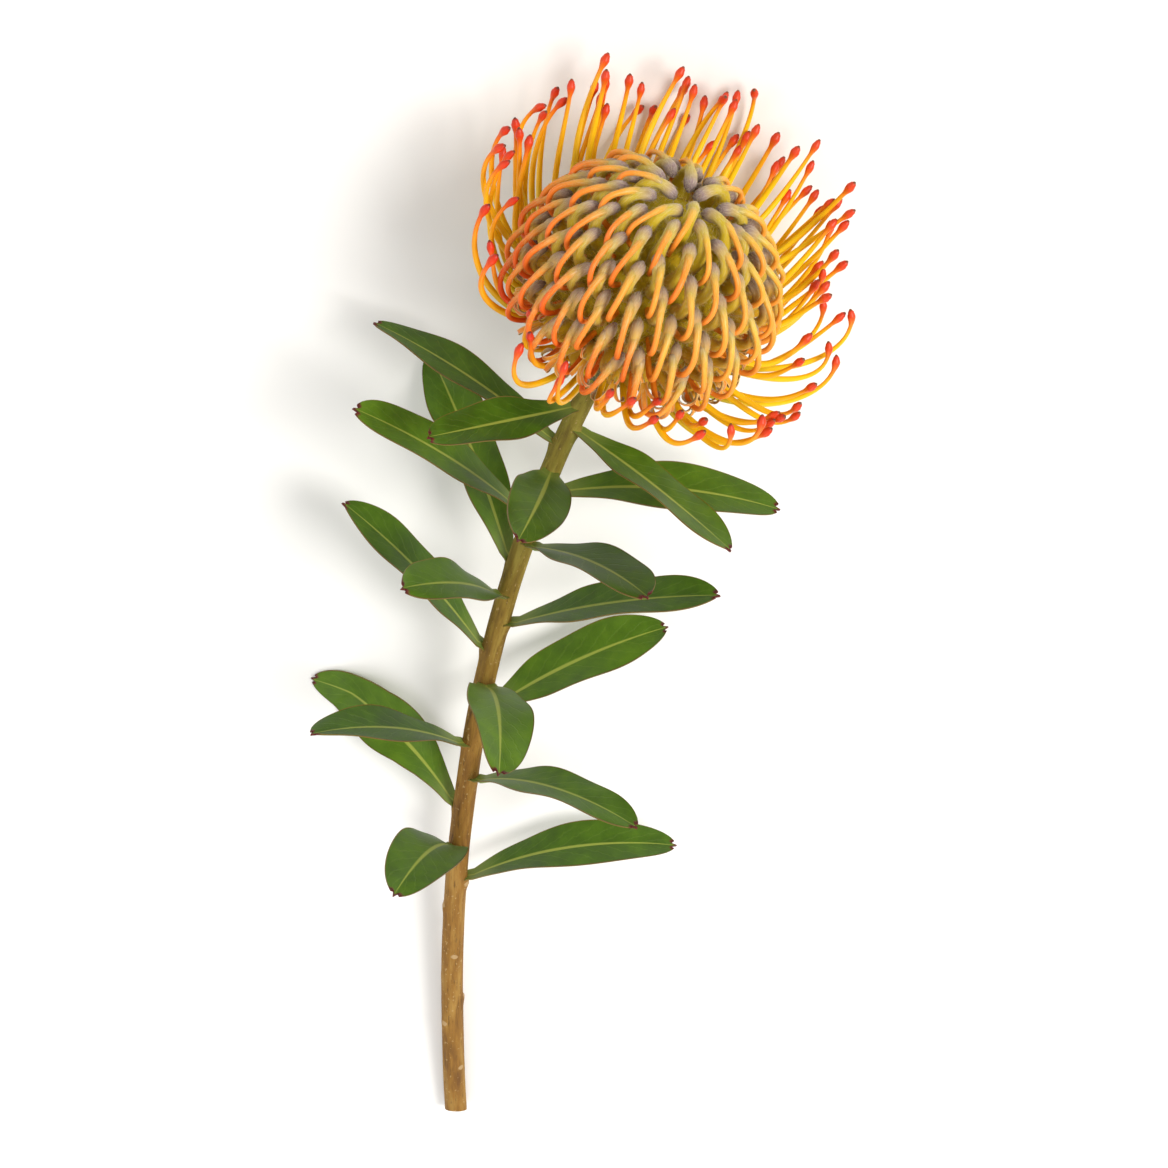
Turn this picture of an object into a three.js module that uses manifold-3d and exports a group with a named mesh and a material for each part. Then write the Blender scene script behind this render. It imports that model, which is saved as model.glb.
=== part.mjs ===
// A pincushion protea, cut with its leafy stem and laid down on a flat surface.
// Millimetres, +Z up. The surface is z = 0, the stem lies along Y and the bloom is at its +Y end.
import * as THREE from 'three';
import { mergeVertices } from 'three/addons/utils/BufferGeometryUtils.js';
import Module from 'manifold-3d';

const wasm = await Module();
wasm.setup();

const { DEG2RAD, lerp, clamp, smoothstep } = THREE.MathUtils;

// Driving dimensions of the stem
const CUT_END = new THREE.Vector3(-20.1, -199.6, 3.9);
const NECK = new THREE.Vector3(8.9, 116.4, 48);
const CUT_SLOPE = new THREE.Vector3(-0.1, 1, 0.09);
const CUT_RADIUS = 4.0;
const NECK_RADIUS = 3.1;
const STEM_SIDES = 10;
const STEM_STEPS = 20;
const CUT_SLANT = 4.5;
const SEAT_GAP = 0.3;
const SCARS = 9;
const FIRST_SCAR = 0.07;
const SCAR_PITCH = 0.033;
const SCAR_TURN = 0.8;
const SCAR_HALF_WIDTH = 2.1;
const SCAR_LEDGE = 0.75;
const SCAR_LENGTH = 4;
const SCAR_ROOT = 1.2;

// Driving dimensions of the bloom. Its own frame has Z along the head's axis and X up.
const HEAD_LEAN = 20 * DEG2RAD;
const HEAD_LIFT = 12 * DEG2RAD;
const INVOLUCRE_DROP = 8;
const DOME_CENTRE = 22;
const DOME_RADIUS = 30;
const WRAP_RADIUS = 36;
const CORE_RADIUS = 31;
const PIT_RADIUS = 5;
const PIT_DEPTH = 8;
const DOME_SIDES = 14;
const CUP_SIDES = 18;
const BRACT_ROWS = [
  { count: 8, radius: 7.2, height: -4.4, size: 4.6, turn: 0 },
  { count: 11, radius: 10.3, height: -1.7, size: 4.8, turn: 0.5 },
];
const BRACT_SHAPE = 0.42;
const FLORETS = 150;
const BETWEEN_SHARE = 0.6;
const BETWEEN_LOOSENESS = 1.8;
const PASSAGE_STOPS = [5.6, 9, 13];
const FIRST_POLAR = 18 * DEG2RAD;
const LAST_POLAR = 113 * DEG2RAD;
const GOLDEN_ANGLE = Math.PI * (3 - Math.sqrt(5));
const SWIRL = 12 * DEG2RAD;
const SWIRL_REACH = 30 * DEG2RAD;
const SWIRL_STEP = 3 * DEG2RAD;
const CLOSED_TILT = 20 * DEG2RAD;
const CLOSED_SIDE = -25 * DEG2RAD;
const CLOSED_REACH = 85 * DEG2RAD;
const STYLE_RADIUS = 0.95;
const PRESENTER_RADIUS = 1.7;
const TIP_RING = 61;
const FRONT_RISE = 13;
const BACK_RISE = 58;
const BACK_DROOP = 14 * DEG2RAD;
const BACK_PULL = 9;
const NEAR_SIDE = -25 * DEG2RAD;
const NEAR_PULL = 10;
const NEAR_LIFT = 6;
const HOOK = -55;
const HOOKED_SIDE = -60 * DEG2RAD;
const HOOKED_SHARE = 0.7;
const SURFACE_CLEARANCE = 0.75;

// Driving dimensions of the leaves
const LEAF_COUNT = 18;
const FIRST_LEAF = 15;
const LEAF_PITCH = 7.8;
const LEAF_PITCH_GROWTH = 0.48;
const LEAF_LENGTH = 70;
const LEAF_WIDTH = 20;
const LEAF_THICKNESS = 0.8;
const RIB_THICKNESS = 1.5;
const LEAF_ROWS = 8;
const FOLD = Math.tan(11 * DEG2RAD);
const LEAF_SPREAD = 47 * DEG2RAD;
const LEAF_RECURVE = 30 * DEG2RAD;
const LEAF_ROLL = 24 * DEG2RAD;
const LEAF_DRIFT = 0.16;
const LEAF_SINK = 0.9;
const UNDER_CLEAR = 48 * DEG2RAD;

// What each draw is for. A purpose's number picks its own row of repeatable draws.
const FOR = {
  closedReach: 1,
  bow: 3,
  rise: 4,
  curl: 5,
  tipRise: 6,
  tipReach: 7,
  startAngle: 8,
  hook: 9,
  endAngle: 10,
  sway: 11,
  shyTip: 12,
  between: 13,
  leafLength: 21,
  leafWidth: 22,
  leafSpread: 23,
  leafRecurve: 24,
  leafDrift: 25,
  leafRoll: 26,
};

// A repeatable draw from 0 to 1 for item i and purpose k
function draw(i, k) {
  const value = Math.sin(i * 12.9898 + k * 78.233) * 43758.5453;
  return value - Math.floor(value);
}

function spread(i, k, amount) {
  return (draw(i, k) * 2 - 1) * amount;
}

// Closed meshes

function signedVolume(points, triangles) {
  const cross = new THREE.Vector3();
  let total = 0;
  for (const [a, b, c] of triangles) {
    cross.crossVectors(points[b], points[c]);
    total += points[a].dot(cross);
  }
  return total / 6;
}

function closedGeometry(points, triangles) {
  const inward = signedVolume(points, triangles) < 0;
  const geometry = new THREE.BufferGeometry();
  geometry.setFromPoints(points);
  geometry.setIndex(triangles.flatMap(([a, b, c]) => (inward ? [a, c, b] : [a, b, c])));
  return geometry;
}

function joinRings(triangles, first, second, sides) {
  for (let m = 0; m < sides; m += 1) {
    const n = (m + 1) % sides;
    triangles.push([first + m, second + n, second + m]);
    triangles.push([first + m, first + n, second + n]);
  }
}

function fan(triangles, first, sides, flip) {
  for (let m = 1; m < sides - 1; m += 1) {
    triangles.push(flip ? [first, first + m + 1, first + m] : [first, first + m, first + m + 1]);
  }
}

// A tube through the points with a radius at each; sideAxis keeps its sections from turning
function tube(points, radii, sideAxis, sides = 3) {
  const rings = points.map((point, j) => {
    const before = points[Math.max(j - 1, 0)];
    const after = points[Math.min(j + 1, points.length - 1)];
    const along = after.clone().sub(before).normalize();
    const across = sideAxis.clone().addScaledVector(along, -sideAxis.dot(along)).normalize();
    const outward = across.clone().cross(along);
    return Array.from({ length: sides }, (_, m) => {
      const angle = (2 * Math.PI * m) / sides;
      return point
        .clone()
        .addScaledVector(outward, Math.cos(angle) * radii[j])
        .addScaledVector(across, Math.sin(angle) * radii[j]);
    });
  });
  const triangles = [];
  for (let j = 0; j < rings.length - 1; j += 1) {
    joinRings(triangles, j * sides, (j + 1) * sides, sides);
  }
  fan(triangles, 0, sides, true);
  fan(triangles, (rings.length - 1) * sides, sides, false);
  return closedGeometry(rings.flat(), triangles);
}

function lathe(profile, sides) {
  const outline = profile.map(([radius, height]) => new THREE.Vector2(radius, height));
  return new THREE.LatheGeometry(outline, sides).rotateX(Math.PI / 2);
}

// Joins and cuts

function toSolid(geometry) {
  const bare = geometry.index ? geometry.clone() : geometry;
  bare.deleteAttribute('normal');
  bare.deleteAttribute('uv');
  const merged = mergeVertices(bare, 1e-4);
  const corners = merged.index.array;
  const kept = [];
  for (let t = 0; t < corners.length; t += 3) {
    const [a, b, c] = corners.slice(t, t + 3);
    if (a !== b && b !== c && c !== a) {
      kept.push(a, b, c);
    }
  }
  const vertProperties = new Float32Array(merged.attributes.position.array);
  const triVerts = new Uint32Array(kept);
  return new wasm.Manifold(new wasm.Mesh({ numProp: 3, vertProperties, triVerts }));
}

function fuse(geometries) {
  return geometries.map(toSolid).reduce((whole, solid) => whole.add(solid));
}

function toGeometry(solid) {
  const mesh = solid.getMesh();
  const geometry = new THREE.BufferGeometry();
  geometry.setAttribute('position', new THREE.BufferAttribute(mesh.vertProperties, 3));
  geometry.setIndex(new THREE.BufferAttribute(mesh.triVerts, 1));
  return geometry;
}

// A block under the surface, which trims flat whatever presses on it
function belowSurface() {
  return new THREE.BoxGeometry(600, 600, 40).translate(0, 0, -20);
}

// The head's frame: X is up, Y is to the right and Z is the head's axis

const HEAD_AXIS = new THREE.Vector3(
  Math.cos(HEAD_LIFT) * Math.sin(HEAD_LEAN),
  Math.cos(HEAD_LIFT) * Math.cos(HEAD_LEAN),
  Math.sin(HEAD_LIFT),
);

function headFrame() {
  const up = new THREE.Vector3(0, 0, 1).addScaledVector(HEAD_AXIS, -HEAD_AXIS.z).normalize();
  const right = HEAD_AXIS.clone().cross(up);
  const base = NECK.clone().addScaledVector(HEAD_AXIS, INVOLUCRE_DROP);
  return new THREE.Matrix4().makeBasis(up, right, HEAD_AXIS).setPosition(base);
}

const HEAD_FRAME = headFrame();
const HEAD_FRAME_INVERSE = HEAD_FRAME.clone().invert();

// Florets spiral down the dome from the pit at its pole. Half places lie between them.

function floret(place) {
  const between = place % 1 > 0;
  const i = Math.floor(place) + (between ? FLORETS : 0);
  const share = (place + 0.5) / FLORETS;
  const polar = Math.acos(lerp(Math.cos(FIRST_POLAR), Math.cos(LAST_POLAR), share));
  const around = place * GOLDEN_ANGLE;
  const outward = new THREE.Vector3().setFromSphericalCoords(1, polar, around);
  outward.set(outward.z, outward.x, outward.y);
  const closedAxis = new THREE.Vector3(
    Math.sin(CLOSED_TILT) * Math.cos(CLOSED_SIDE),
    Math.sin(CLOSED_TILT) * Math.sin(CLOSED_SIDE),
    Math.cos(CLOSED_TILT),
  );
  const reach = CLOSED_REACH + spread(i, FOR.closedReach, 3 * DEG2RAD);
  const open = outward.dot(closedAxis) < Math.cos(reach);
  return { i, between, share, polar, around, outward, open };
}

const FLORET_LIST = Array.from({ length: FLORETS }, (_, i) => floret(i));

// Some open styles more, which stand between the others
const BETWEEN_LIST = Array.from({ length: FLORETS - 1 }, (_, i) => floret(i + 0.5)).filter(
  (item) => item.open && draw(item.i, FOR.between) < BETWEEN_SHARE,
);

// The direction along the dome away from the pole, turned by an angle, and the one across it
function turnedAxes({ polar, around }, turn) {
  const away = new THREE.Vector3(
    Math.cos(polar) * Math.cos(around),
    Math.cos(polar) * Math.sin(around),
    -Math.sin(polar),
  );
  const round = new THREE.Vector3(-Math.sin(around), Math.cos(around), 0);
  const along = away.clone().multiplyScalar(Math.cos(turn)).addScaledVector(round, Math.sin(turn));
  const across = round.clone().multiplyScalar(Math.cos(turn)).addScaledVector(away, -Math.sin(turn));
  return { along, across };
}

// How near a style laid along these axes passes to the other florets, as an angle at the centre
function passage(item, axes) {
  let nearest = Infinity;
  for (const distance of PASSAGE_STOPS) {
    const step = distance / WRAP_RADIUS;
    const spot = item.outward.clone().multiplyScalar(Math.cos(step));
    spot.addScaledVector(axes.along, Math.sin(step));
    for (const other of FLORET_LIST) {
      if (other !== item) {
        nearest = Math.min(nearest, spot.angleTo(other.outward));
      }
    }
  }
  return nearest;
}

// A style lies in the gap between its neighbours that is nearest to the swirl
function domeAxes(item) {
  let best = null;
  let bestScore = -Infinity;
  for (let turn = SWIRL - SWIRL_REACH; turn <= SWIRL + SWIRL_REACH; turn += SWIRL_STEP) {
    const axes = turnedAxes(item, turn);
    const score = passage(item, axes) - 0.05 * Math.abs(turn - SWIRL);
    if (score > bestScore) {
      bestScore = score;
      best = axes;
    }
  }
  return best;
}

// A point at a distance along the dome from the floret, and at a height over it
function domePoint(item, axes, distance, height) {
  const step = distance / WRAP_RADIUS;
  return item.outward
    .clone()
    .multiplyScalar(Math.cos(step))
    .addScaledVector(axes.along, Math.sin(step))
    .multiplyScalar(DOME_RADIUS + height)
    .add(new THREE.Vector3(0, 0, DOME_CENTRE));
}

// A closed floret: the limb's hairy tip points to the pole and the style bows out from under it.
// Each stop of a route is a distance along the dome, a height over it and the tube's radius there.
function closedFloret(item) {
  const axes = domeAxes(item);
  const low = smoothstep(item.polar, FIRST_POLAR, 85 * DEG2RAD);
  const bow = lerp(0.8, 1.12, low) * (1 + spread(item.i, FOR.bow, 0.1));
  const rise = lerp(0.92, 1.06, low) * (1 + spread(item.i, FOR.rise, 0.06));
  const route = [
    [10.5 * bow, -4, 0.9],
    [11.5 * bow, 5 * rise, 0.9],
    [5 * bow, 10.4 * rise, 0.9],
    [-2, 6.4, 1.9],
    [-6.6, 4.4, 0.9],
  ];
  const points = route.map(([distance, height]) => domePoint(item, axes, distance, height));
  return tube(points, route.map((stop) => stop[2]), axes.across);
}

// The curled-back perianth round the foot of an open style
function perianthCurl(item) {
  const axes = domeAxes(item);
  const size = 1 + spread(item.i, FOR.curl, 0.15);
  const route = [
    [2.4, -3, 1.4],
    [3.6, 6.4 * size, 1.6],
    [8.4 * size, 5.4 * size, 1],
  ];
  const points = route.map(([distance, height]) => domePoint(item, axes, distance, height));
  return tube(points, route.map((stop) => stop[2]), axes.across);
}

// Control points of an open style, each a radius from the head's axis and a height along it.
// The ring of tips is tilted: it is low at the head's upper side and high at the side on the surface.
// On the near side the tips reach less far, and more of them hook back.
function styleControls(item) {
  const outer = clamp((item.polar - 60 * DEG2RAD) / (LAST_POLAR - 60 * DEG2RAD), 0, 1);
  const back = smoothstep(0.5 - 0.5 * Math.cos(item.around), 0.1, 0.95);
  const root = [10 * Math.sqrt(item.share), 3 + 25 * (1 - item.share)];
  const near = smoothstep(Math.cos(item.around - NEAR_SIDE), -0.3, 0.8);
  const loose = item.between ? BETWEEN_LOOSENESS : 1;
  const layer = lerp(10, -12, outer) * back;
  const level = lerp(FRONT_RISE, BACK_RISE, back) + NEAR_LIFT * near;
  const rise = level + layer + spread(item.i, FOR.tipRise, 3.5 * loose);
  const shy = 8 * draw(item.i, FOR.shyTip) ** (3 / loose) + NEAR_PULL * near;
  const reach = TIP_RING - 1.5 - lerp(3, 0, outer) - shy + spread(item.i, FOR.tipReach, 1.5);
  const startAngle = item.polar + BACK_DROOP * back + spread(item.i, FOR.startAngle, 4 * DEG2RAD);
  const hookChance = lerp(0.1, HOOKED_SHARE, 0.5 + 0.5 * Math.cos(item.around - HOOKED_SIDE));
  const hook = draw(item.i, FOR.hook) < hookChance ? HOOK : 0;
  const endAngle = (lerp(9, 28, outer) + hook + spread(item.i, FOR.endAngle, 11)) * DEG2RAD;
  const startPull = lerp(33, 29, outer) + BACK_PULL * back;
  const endPull = lerp(20, 15, outer);
  const second = [
    root[0] + startPull * Math.sin(startAngle),
    root[1] + startPull * Math.cos(startAngle),
  ];
  const third = [reach - endPull * Math.sin(endAngle), rise - endPull * Math.cos(endAngle)];
  return { outer, controls: [root, second, third, [reach, rise]] };
}

function bezier(controls, t, k) {
  const s = 1 - t;
  const [a, b, c, d] = controls.map((control) => control[k]);
  return s ** 3 * a + 3 * s * s * t * b + 3 * s * t * t * c + t ** 3 * d;
}

// What would sink into the surface lies on it instead
function laidOnSurface(point, clearance) {
  const placed = point.clone().applyMatrix4(HEAD_FRAME);
  placed.z = Math.max(placed.z, clearance);
  return placed.applyMatrix4(HEAD_FRAME_INVERSE);
}

function openStyle(item) {
  const { outer, controls } = styleControls(item);
  const start = lerp(0.28, 0.08, outer);
  const sway = spread(item.i, FOR.sway, 7) / TIP_RING;
  const stops = [0, 0.22, 0.44, 0.64, 0.81, 0.93, 1];
  const points = stops.map((stop) => {
    const t = lerp(start, 1, stop);
    const radius = bezier(controls, t, 0);
    const around = item.around + sway * stop * stop;
    const point = new THREE.Vector3(
      radius * Math.cos(around),
      radius * Math.sin(around),
      bezier(controls, t, 1),
    );
    return laidOnSurface(point, SURFACE_CLEARANCE);
  });
  const radii = stops.map(() => STYLE_RADIUS);
  radii[stops.length - 2] = PRESENTER_RADIUS;
  radii[stops.length - 1] = 0.6;
  const across = new THREE.Vector3(-Math.sin(item.around), Math.cos(item.around), 0);
  return tube(points, radii, across);
}

// The packed floret tubes under the dome, as one body with the pit at its pole
function floretBody() {
  const profile = [
    [0, 1.7],
    [9.5, 1.7],
    [21, -1.6],
    [27.6, 3.4],
  ];
  const stops = [98, 80, 62, 45, 30, 17];
  for (const polar of stops) {
    const angle = polar * DEG2RAD;
    profile.push([CORE_RADIUS * Math.sin(angle), DOME_CENTRE + CORE_RADIUS * Math.cos(angle)]);
  }
  profile.push([PIT_RADIUS, DOME_CENTRE + CORE_RADIUS - PIT_DEPTH * 0.5]);
  profile.push([0, DOME_CENTRE + CORE_RADIUS - PIT_DEPTH]);
  return lathe(profile, DOME_SIDES);
}

function flowerHead() {
  const pieces = [floretBody()];
  for (const item of FLORET_LIST) {
    if (item.open) {
      pieces.push(openStyle(item), perianthCurl(item));
    } else {
      pieces.push(closedFloret(item));
    }
  }
  pieces.push(...BETWEEN_LIST.map(openStyle));
  const below = belowSurface().applyMatrix4(HEAD_FRAME_INVERSE);
  return toGeometry(fuse(pieces).subtract(toSolid(below)));
}

// The cup of bracts under the head

// One bract: a boat-shaped scale, its foot in the cup and its tip standing off
function bract(index, { count, radius, height, size }) {
  const around = (2 * Math.PI * index) / count;
  const outward = new THREE.Vector3(Math.cos(around), Math.sin(around), 0);
  const across = new THREE.Vector3(-Math.sin(around), Math.cos(around), 0);
  const foot = outward.clone().multiplyScalar(radius - 1.6).setZ(height - size);
  const belly = outward.clone().multiplyScalar(radius + 0.9).setZ(height - size * 0.35);
  const tip = outward.clone().multiplyScalar(radius + 1.6).setZ(height + size * 0.35);
  const inner = outward.clone().multiplyScalar(radius - 2.2).setZ(height);
  const halfWidth = size * BRACT_SHAPE;
  const left = inner.clone().lerp(belly, 0.55).addScaledVector(across, -halfWidth);
  const right = inner.clone().lerp(belly, 0.55).addScaledVector(across, halfWidth);
  const points = [foot, left, belly, right, tip, inner];
  const triangles = [
    [0, 2, 1],
    [0, 3, 2],
    [1, 2, 4],
    [2, 3, 4],
    [0, 1, 5],
    [0, 5, 3],
    [1, 4, 5],
    [3, 5, 4],
  ];
  return closedGeometry(points, triangles);
}

function involucre() {
  const cup = lathe(
    [
      [0, -INVOLUCRE_DROP],
      [4.2, -INVOLUCRE_DROP],
      [7.6, -5.2],
      [10.4, -1.6],
      [10.6, 0.9],
      [9, 1.4],
      [0, 1.4],
    ],
    CUP_SIDES,
  );
  const pieces = [cup];
  for (const row of BRACT_ROWS) {
    for (let index = 0; index < row.count; index += 1) {
      pieces.push(bract(index + row.turn, row));
    }
  }
  return toGeometry(fuse(pieces));
}

// The stem is one cubic curve from its cut end to the neck, where it runs into the head's axis

function stemCurve() {
  const span = (NECK.y - CUT_END.y) / 3;
  const top = NECK.clone().addScaledVector(HEAD_AXIS, -SEAT_GAP);
  const low = CUT_END.clone().addScaledVector(CUT_SLOPE, span);
  const high = top.clone().addScaledVector(HEAD_AXIS, -span);
  return new THREE.CubicBezierCurve3(CUT_END, low, high, top);
}

const STEM = stemCurve();
const STEM_LENGTH = STEM.getLength();

function stemRadius(share) {
  const flare = smoothstep(share, 0.985, 1) * 0.9;
  return lerp(CUT_RADIUS, NECK_RADIUS, share) + flare;
}

// The stem's own axes at a share of its length: along it, up and to the right
function stemAxes(share) {
  const point = STEM.getPointAt(share);
  const along = STEM.getTangentAt(share);
  const up = new THREE.Vector3(0, 0, 1).addScaledVector(along, -along.z).normalize();
  const right = along.clone().cross(up);
  return { point, along, up, right };
}

function outwardFrom({ up, right }, around) {
  return up.clone().multiplyScalar(Math.cos(around)).addScaledVector(right, Math.sin(around));
}

// The scar of a stripped leaf: a low ledge that rises along the stem and ends short of the next
function leafScar(index) {
  const share = FIRST_SCAR + SCAR_PITCH * index;
  const axes = stemAxes(share);
  const outward = outwardFrom(axes, index * GOLDEN_ANGLE + SCAR_TURN);
  const across = axes.along.clone().cross(outward);
  const radius = stemRadius(share);
  const place = (ahead, aside, height) =>
    axes.point
      .clone()
      .addScaledVector(axes.along, ahead)
      .addScaledVector(across, aside)
      .addScaledVector(outward, radius + height);
  const points = [
    place(-SCAR_LENGTH, 0, -SCAR_ROOT),
    place(0, -SCAR_HALF_WIDTH, -0.75 * SCAR_ROOT),
    place(0, 0, SCAR_LEDGE),
    place(0, SCAR_HALF_WIDTH, -0.75 * SCAR_ROOT),
    place(0.4 * SCAR_LENGTH, 0, -SCAR_ROOT),
  ];
  const triangles = [
    [0, 2, 1],
    [0, 3, 2],
    [1, 2, 4],
    [2, 3, 4],
    [0, 1, 4],
    [0, 4, 3],
  ];
  return closedGeometry(points, triangles);
}

function stem() {
  const points = [];
  const radii = [];
  for (let j = 0; j <= STEM_STEPS; j += 1) {
    const share = j / STEM_STEPS;
    points.push(STEM.getPointAt(share));
    radii.push(stemRadius(share));
  }
  const shaft = tube(points, radii, new THREE.Vector3(1, 0, 0), STEM_SIDES);
  const position = shaft.attributes.position;
  for (let m = 0; m < STEM_SIDES; m += 1) {
    const height = position.getZ(m) - CUT_END.z;
    position.setY(m, position.getY(m) + (height / CUT_RADIUS) * (CUT_SLANT / 2));
  }
  const pieces = [shaft];
  for (let index = 0; index < SCARS; index += 1) {
    pieces.push(leafScar(index));
  }
  return toGeometry(fuse(pieces).subtract(toSolid(belowSurface())));
}

// Leaves

// Half the blade's width at a share of its length, for a width of 1
function halfWidth(share) {
  const widest = 0.54;
  const base = 0.13;
  if (share < widest) {
    return lerp(base, 0.5, Math.sin((share / widest) * (Math.PI / 2)) ** 1.1);
  }
  const past = (share - widest) / (1 - widest);
  return 0.5 * (1 - 0.96 * past * past) ** 0.55;
}

function leafPlan(index) {
  const distance = FIRST_LEAF + index * LEAF_PITCH + LEAF_PITCH_GROWTH * index * (index - 1) * 0.5;
  const grown = Math.min(index / 4, 1);
  const length = LEAF_LENGTH * (1 + spread(index, FOR.leafLength, 0.1)) * lerp(0.74, 1, grown);
  const width = LEAF_WIDTH * (1 + spread(index, FOR.leafWidth, 0.1)) * lerp(0.8, 1, grown);
  const turn = index * GOLDEN_ANGLE + 2.1;
  const fromBelow = Math.atan2(Math.sin(turn), Math.cos(turn));
  const kept = UNDER_CLEAR + (Math.PI - UNDER_CLEAR) * (Math.abs(fromBelow) / Math.PI);
  const around = Math.PI + Math.sign(fromBelow) * kept;
  const headroom = clamp((distance - FIRST_LEAF) / length, 0, 0.95);
  const wanted = LEAF_SPREAD + spread(index, FOR.leafSpread, 6 * DEG2RAD);
  const spreadAngle = Math.max(wanted, Math.acos(headroom));
  const room = Math.max(0, Math.PI * 0.52 - spreadAngle);
  const recurve = Math.min(LEAF_RECURVE * (1 + spread(index, FOR.leafRecurve, 0.5)), room);
  const drift = spread(index, FOR.leafDrift, LEAF_DRIFT);
  const roll = spread(index, FOR.leafRoll, LEAF_ROLL);
  return { distance, length, width, around, spreadAngle, recurve, drift, roll };
}

// The midrib leaves the stem at the spread angle, bends back, and lies down where it meets the surface
function leafSpine(plan) {
  const share = 1 - plan.distance / STEM_LENGTH;
  const axes = stemAxes(share);
  const outward = outwardFrom(axes, plan.around);
  const side = axes.along.clone().cross(outward);
  const step = plan.length / LEAF_ROWS;
  const spine = [axes.point.clone().addScaledVector(outward, stemRadius(share) + SEAT_GAP)];
  for (let row = 1; row <= LEAF_ROWS; row += 1) {
    const angle = plan.spreadAngle + plan.recurve * ((row - 0.5) / LEAF_ROWS);
    const along = axes.along.clone().multiplyScalar(Math.cos(angle));
    along.addScaledVector(outward, Math.sin(angle));
    along.addScaledVector(side, plan.drift * (row / LEAF_ROWS)).normalize();
    const next = spine[row - 1].clone().addScaledVector(along, step);
    next.z = Math.max(next.z, -LEAF_SINK);
    const move = next.sub(spine[row - 1]).setLength(step);
    const point = spine[row - 1].clone().add(move);
    point.z = Math.max(point.z, -LEAF_SINK);
    spine.push(point);
  }
  return { spine, side };
}

// The blade's own axes at a row: along the midrib, across it and out of its upper face.
// It rolls as it goes out, and turns level as it nears the surface.
function bladeAxes(spine, side, row, roll) {
  const before = spine[Math.max(row - 1, 0)];
  const after = spine[Math.min(row + 1, LEAF_ROWS)];
  const along = after.clone().sub(before).normalize();
  const level = new THREE.Vector3(-along.y, along.x, 0).normalize();
  if (level.dot(side) < 0) {
    level.negate();
  }
  const nearSurface = 1 - smoothstep(spine[row].z, 3, 15);
  const across = side.clone().applyAxisAngle(along, roll * (row / LEAF_ROWS));
  across.lerp(level, nearSurface);
  across.addScaledVector(along, -across.dot(along)).normalize();
  return { along, across, face: along.clone().cross(across) };
}

// The blade's two faces are split alike, with the tip's three teeth in the last row
function leaf(index) {
  const plan = leafPlan(index);
  const { spine, side } = leafSpine(plan);
  const columns = [-1, -0.5, 0, 0.5, 1];
  const tipReach = [-0.004, -0.022, 0.014, -0.022, -0.004];
  const upper = [];
  const lower = [];
  spine.forEach((point, row) => {
    const { along, across, face } = bladeAxes(spine, side, row, plan.roll);
    const share = row / LEAF_ROWS;
    const half = halfWidth(share) * plan.width;
    columns.forEach((column, c) => {
      const ahead = row === LEAF_ROWS ? tipReach[c] * plan.length : 0;
      const lift = Math.abs(column) * half * FOLD;
      const thickness = column === 0 ? lerp(RIB_THICKNESS, LEAF_THICKNESS, share) : LEAF_THICKNESS;
      const bottom = point
        .clone()
        .addScaledVector(across, column * half)
        .addScaledVector(face, lift - thickness)
        .addScaledVector(along, ahead);
      const top = bottom.clone().addScaledVector(face, thickness);
      bottom.z = Math.max(bottom.z, 0);
      top.z = Math.max(top.z, bottom.z + thickness * Math.max(face.z, 0));
      upper.push(top);
      lower.push(bottom);
    });
  });
  return blade(upper, lower, LEAF_ROWS, columns.length);
}

function blade(upper, lower, rows, width) {
  const points = [...upper, ...lower];
  const offset = upper.length;
  const triangles = [];
  for (let row = 0; row < rows; row += 1) {
    for (let c = 0; c < width - 1; c += 1) {
      const a = row * width + c;
      const b = a + 1;
      const d = a + width;
      const e = d + 1;
      triangles.push([a, b, e], [a, e, d]);
      triangles.push([offset + a, offset + e, offset + b], [offset + a, offset + d, offset + e]);
    }
  }
  const rim = rimOf(rows, width);
  rim.forEach((a, j) => {
    const b = rim[(j + 1) % rim.length];
    triangles.push([b, a, offset + a], [b, offset + a, offset + b]);
  });
  return closedGeometry(points, triangles);
}

// The grid's outline, once round
function rimOf(rows, width) {
  const rim = [];
  for (let c = 0; c < width - 1; c += 1) {
    rim.push(c);
  }
  for (let row = 0; row < rows; row += 1) {
    rim.push(row * width + width - 1);
  }
  for (let c = width - 1; c > 0; c -= 1) {
    rim.push(rows * width + c);
  }
  for (let row = rows; row > 0; row -= 1) {
    rim.push(row * width);
  }
  return rim;
}

// Assembly

const FLORET_ORANGE = new THREE.MeshStandardMaterial({ color: 0xf0a030, roughness: 0.55 });
const BRACT_GREEN = new THREE.MeshStandardMaterial({ color: 0x4a4a30, roughness: 0.85 });
const STEM_BROWN = new THREE.MeshStandardMaterial({ color: 0x7a5a24, roughness: 0.75 });
const LEAF_GREEN = new THREE.MeshStandardMaterial({ color: 0x3e6b1e, roughness: 0.5 });

function named(name, geometry, material) {
  geometry.computeVertexNormals();
  const mesh = new THREE.Mesh(geometry, material);
  mesh.name = name;
  return mesh;
}

const head = new THREE.Group();
head.applyMatrix4(HEAD_FRAME);
head.add(named('flower_head', flowerHead(), FLORET_ORANGE));
head.add(named('involucre', involucre(), BRACT_GREEN));

const group = new THREE.Group();
group.add(head);
group.add(named('stem', stem(), STEM_BROWN));
for (let index = 0; index < LEAF_COUNT; index += 1) {
  const name = `leaf_${String(index + 1).padStart(2, '0')}`;
  group.add(named(name, leaf(index), LEAF_GREEN));
}

export default group;
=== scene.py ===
import math

import bpy
import numpy as np
from mathutils import Matrix, Vector


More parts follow.
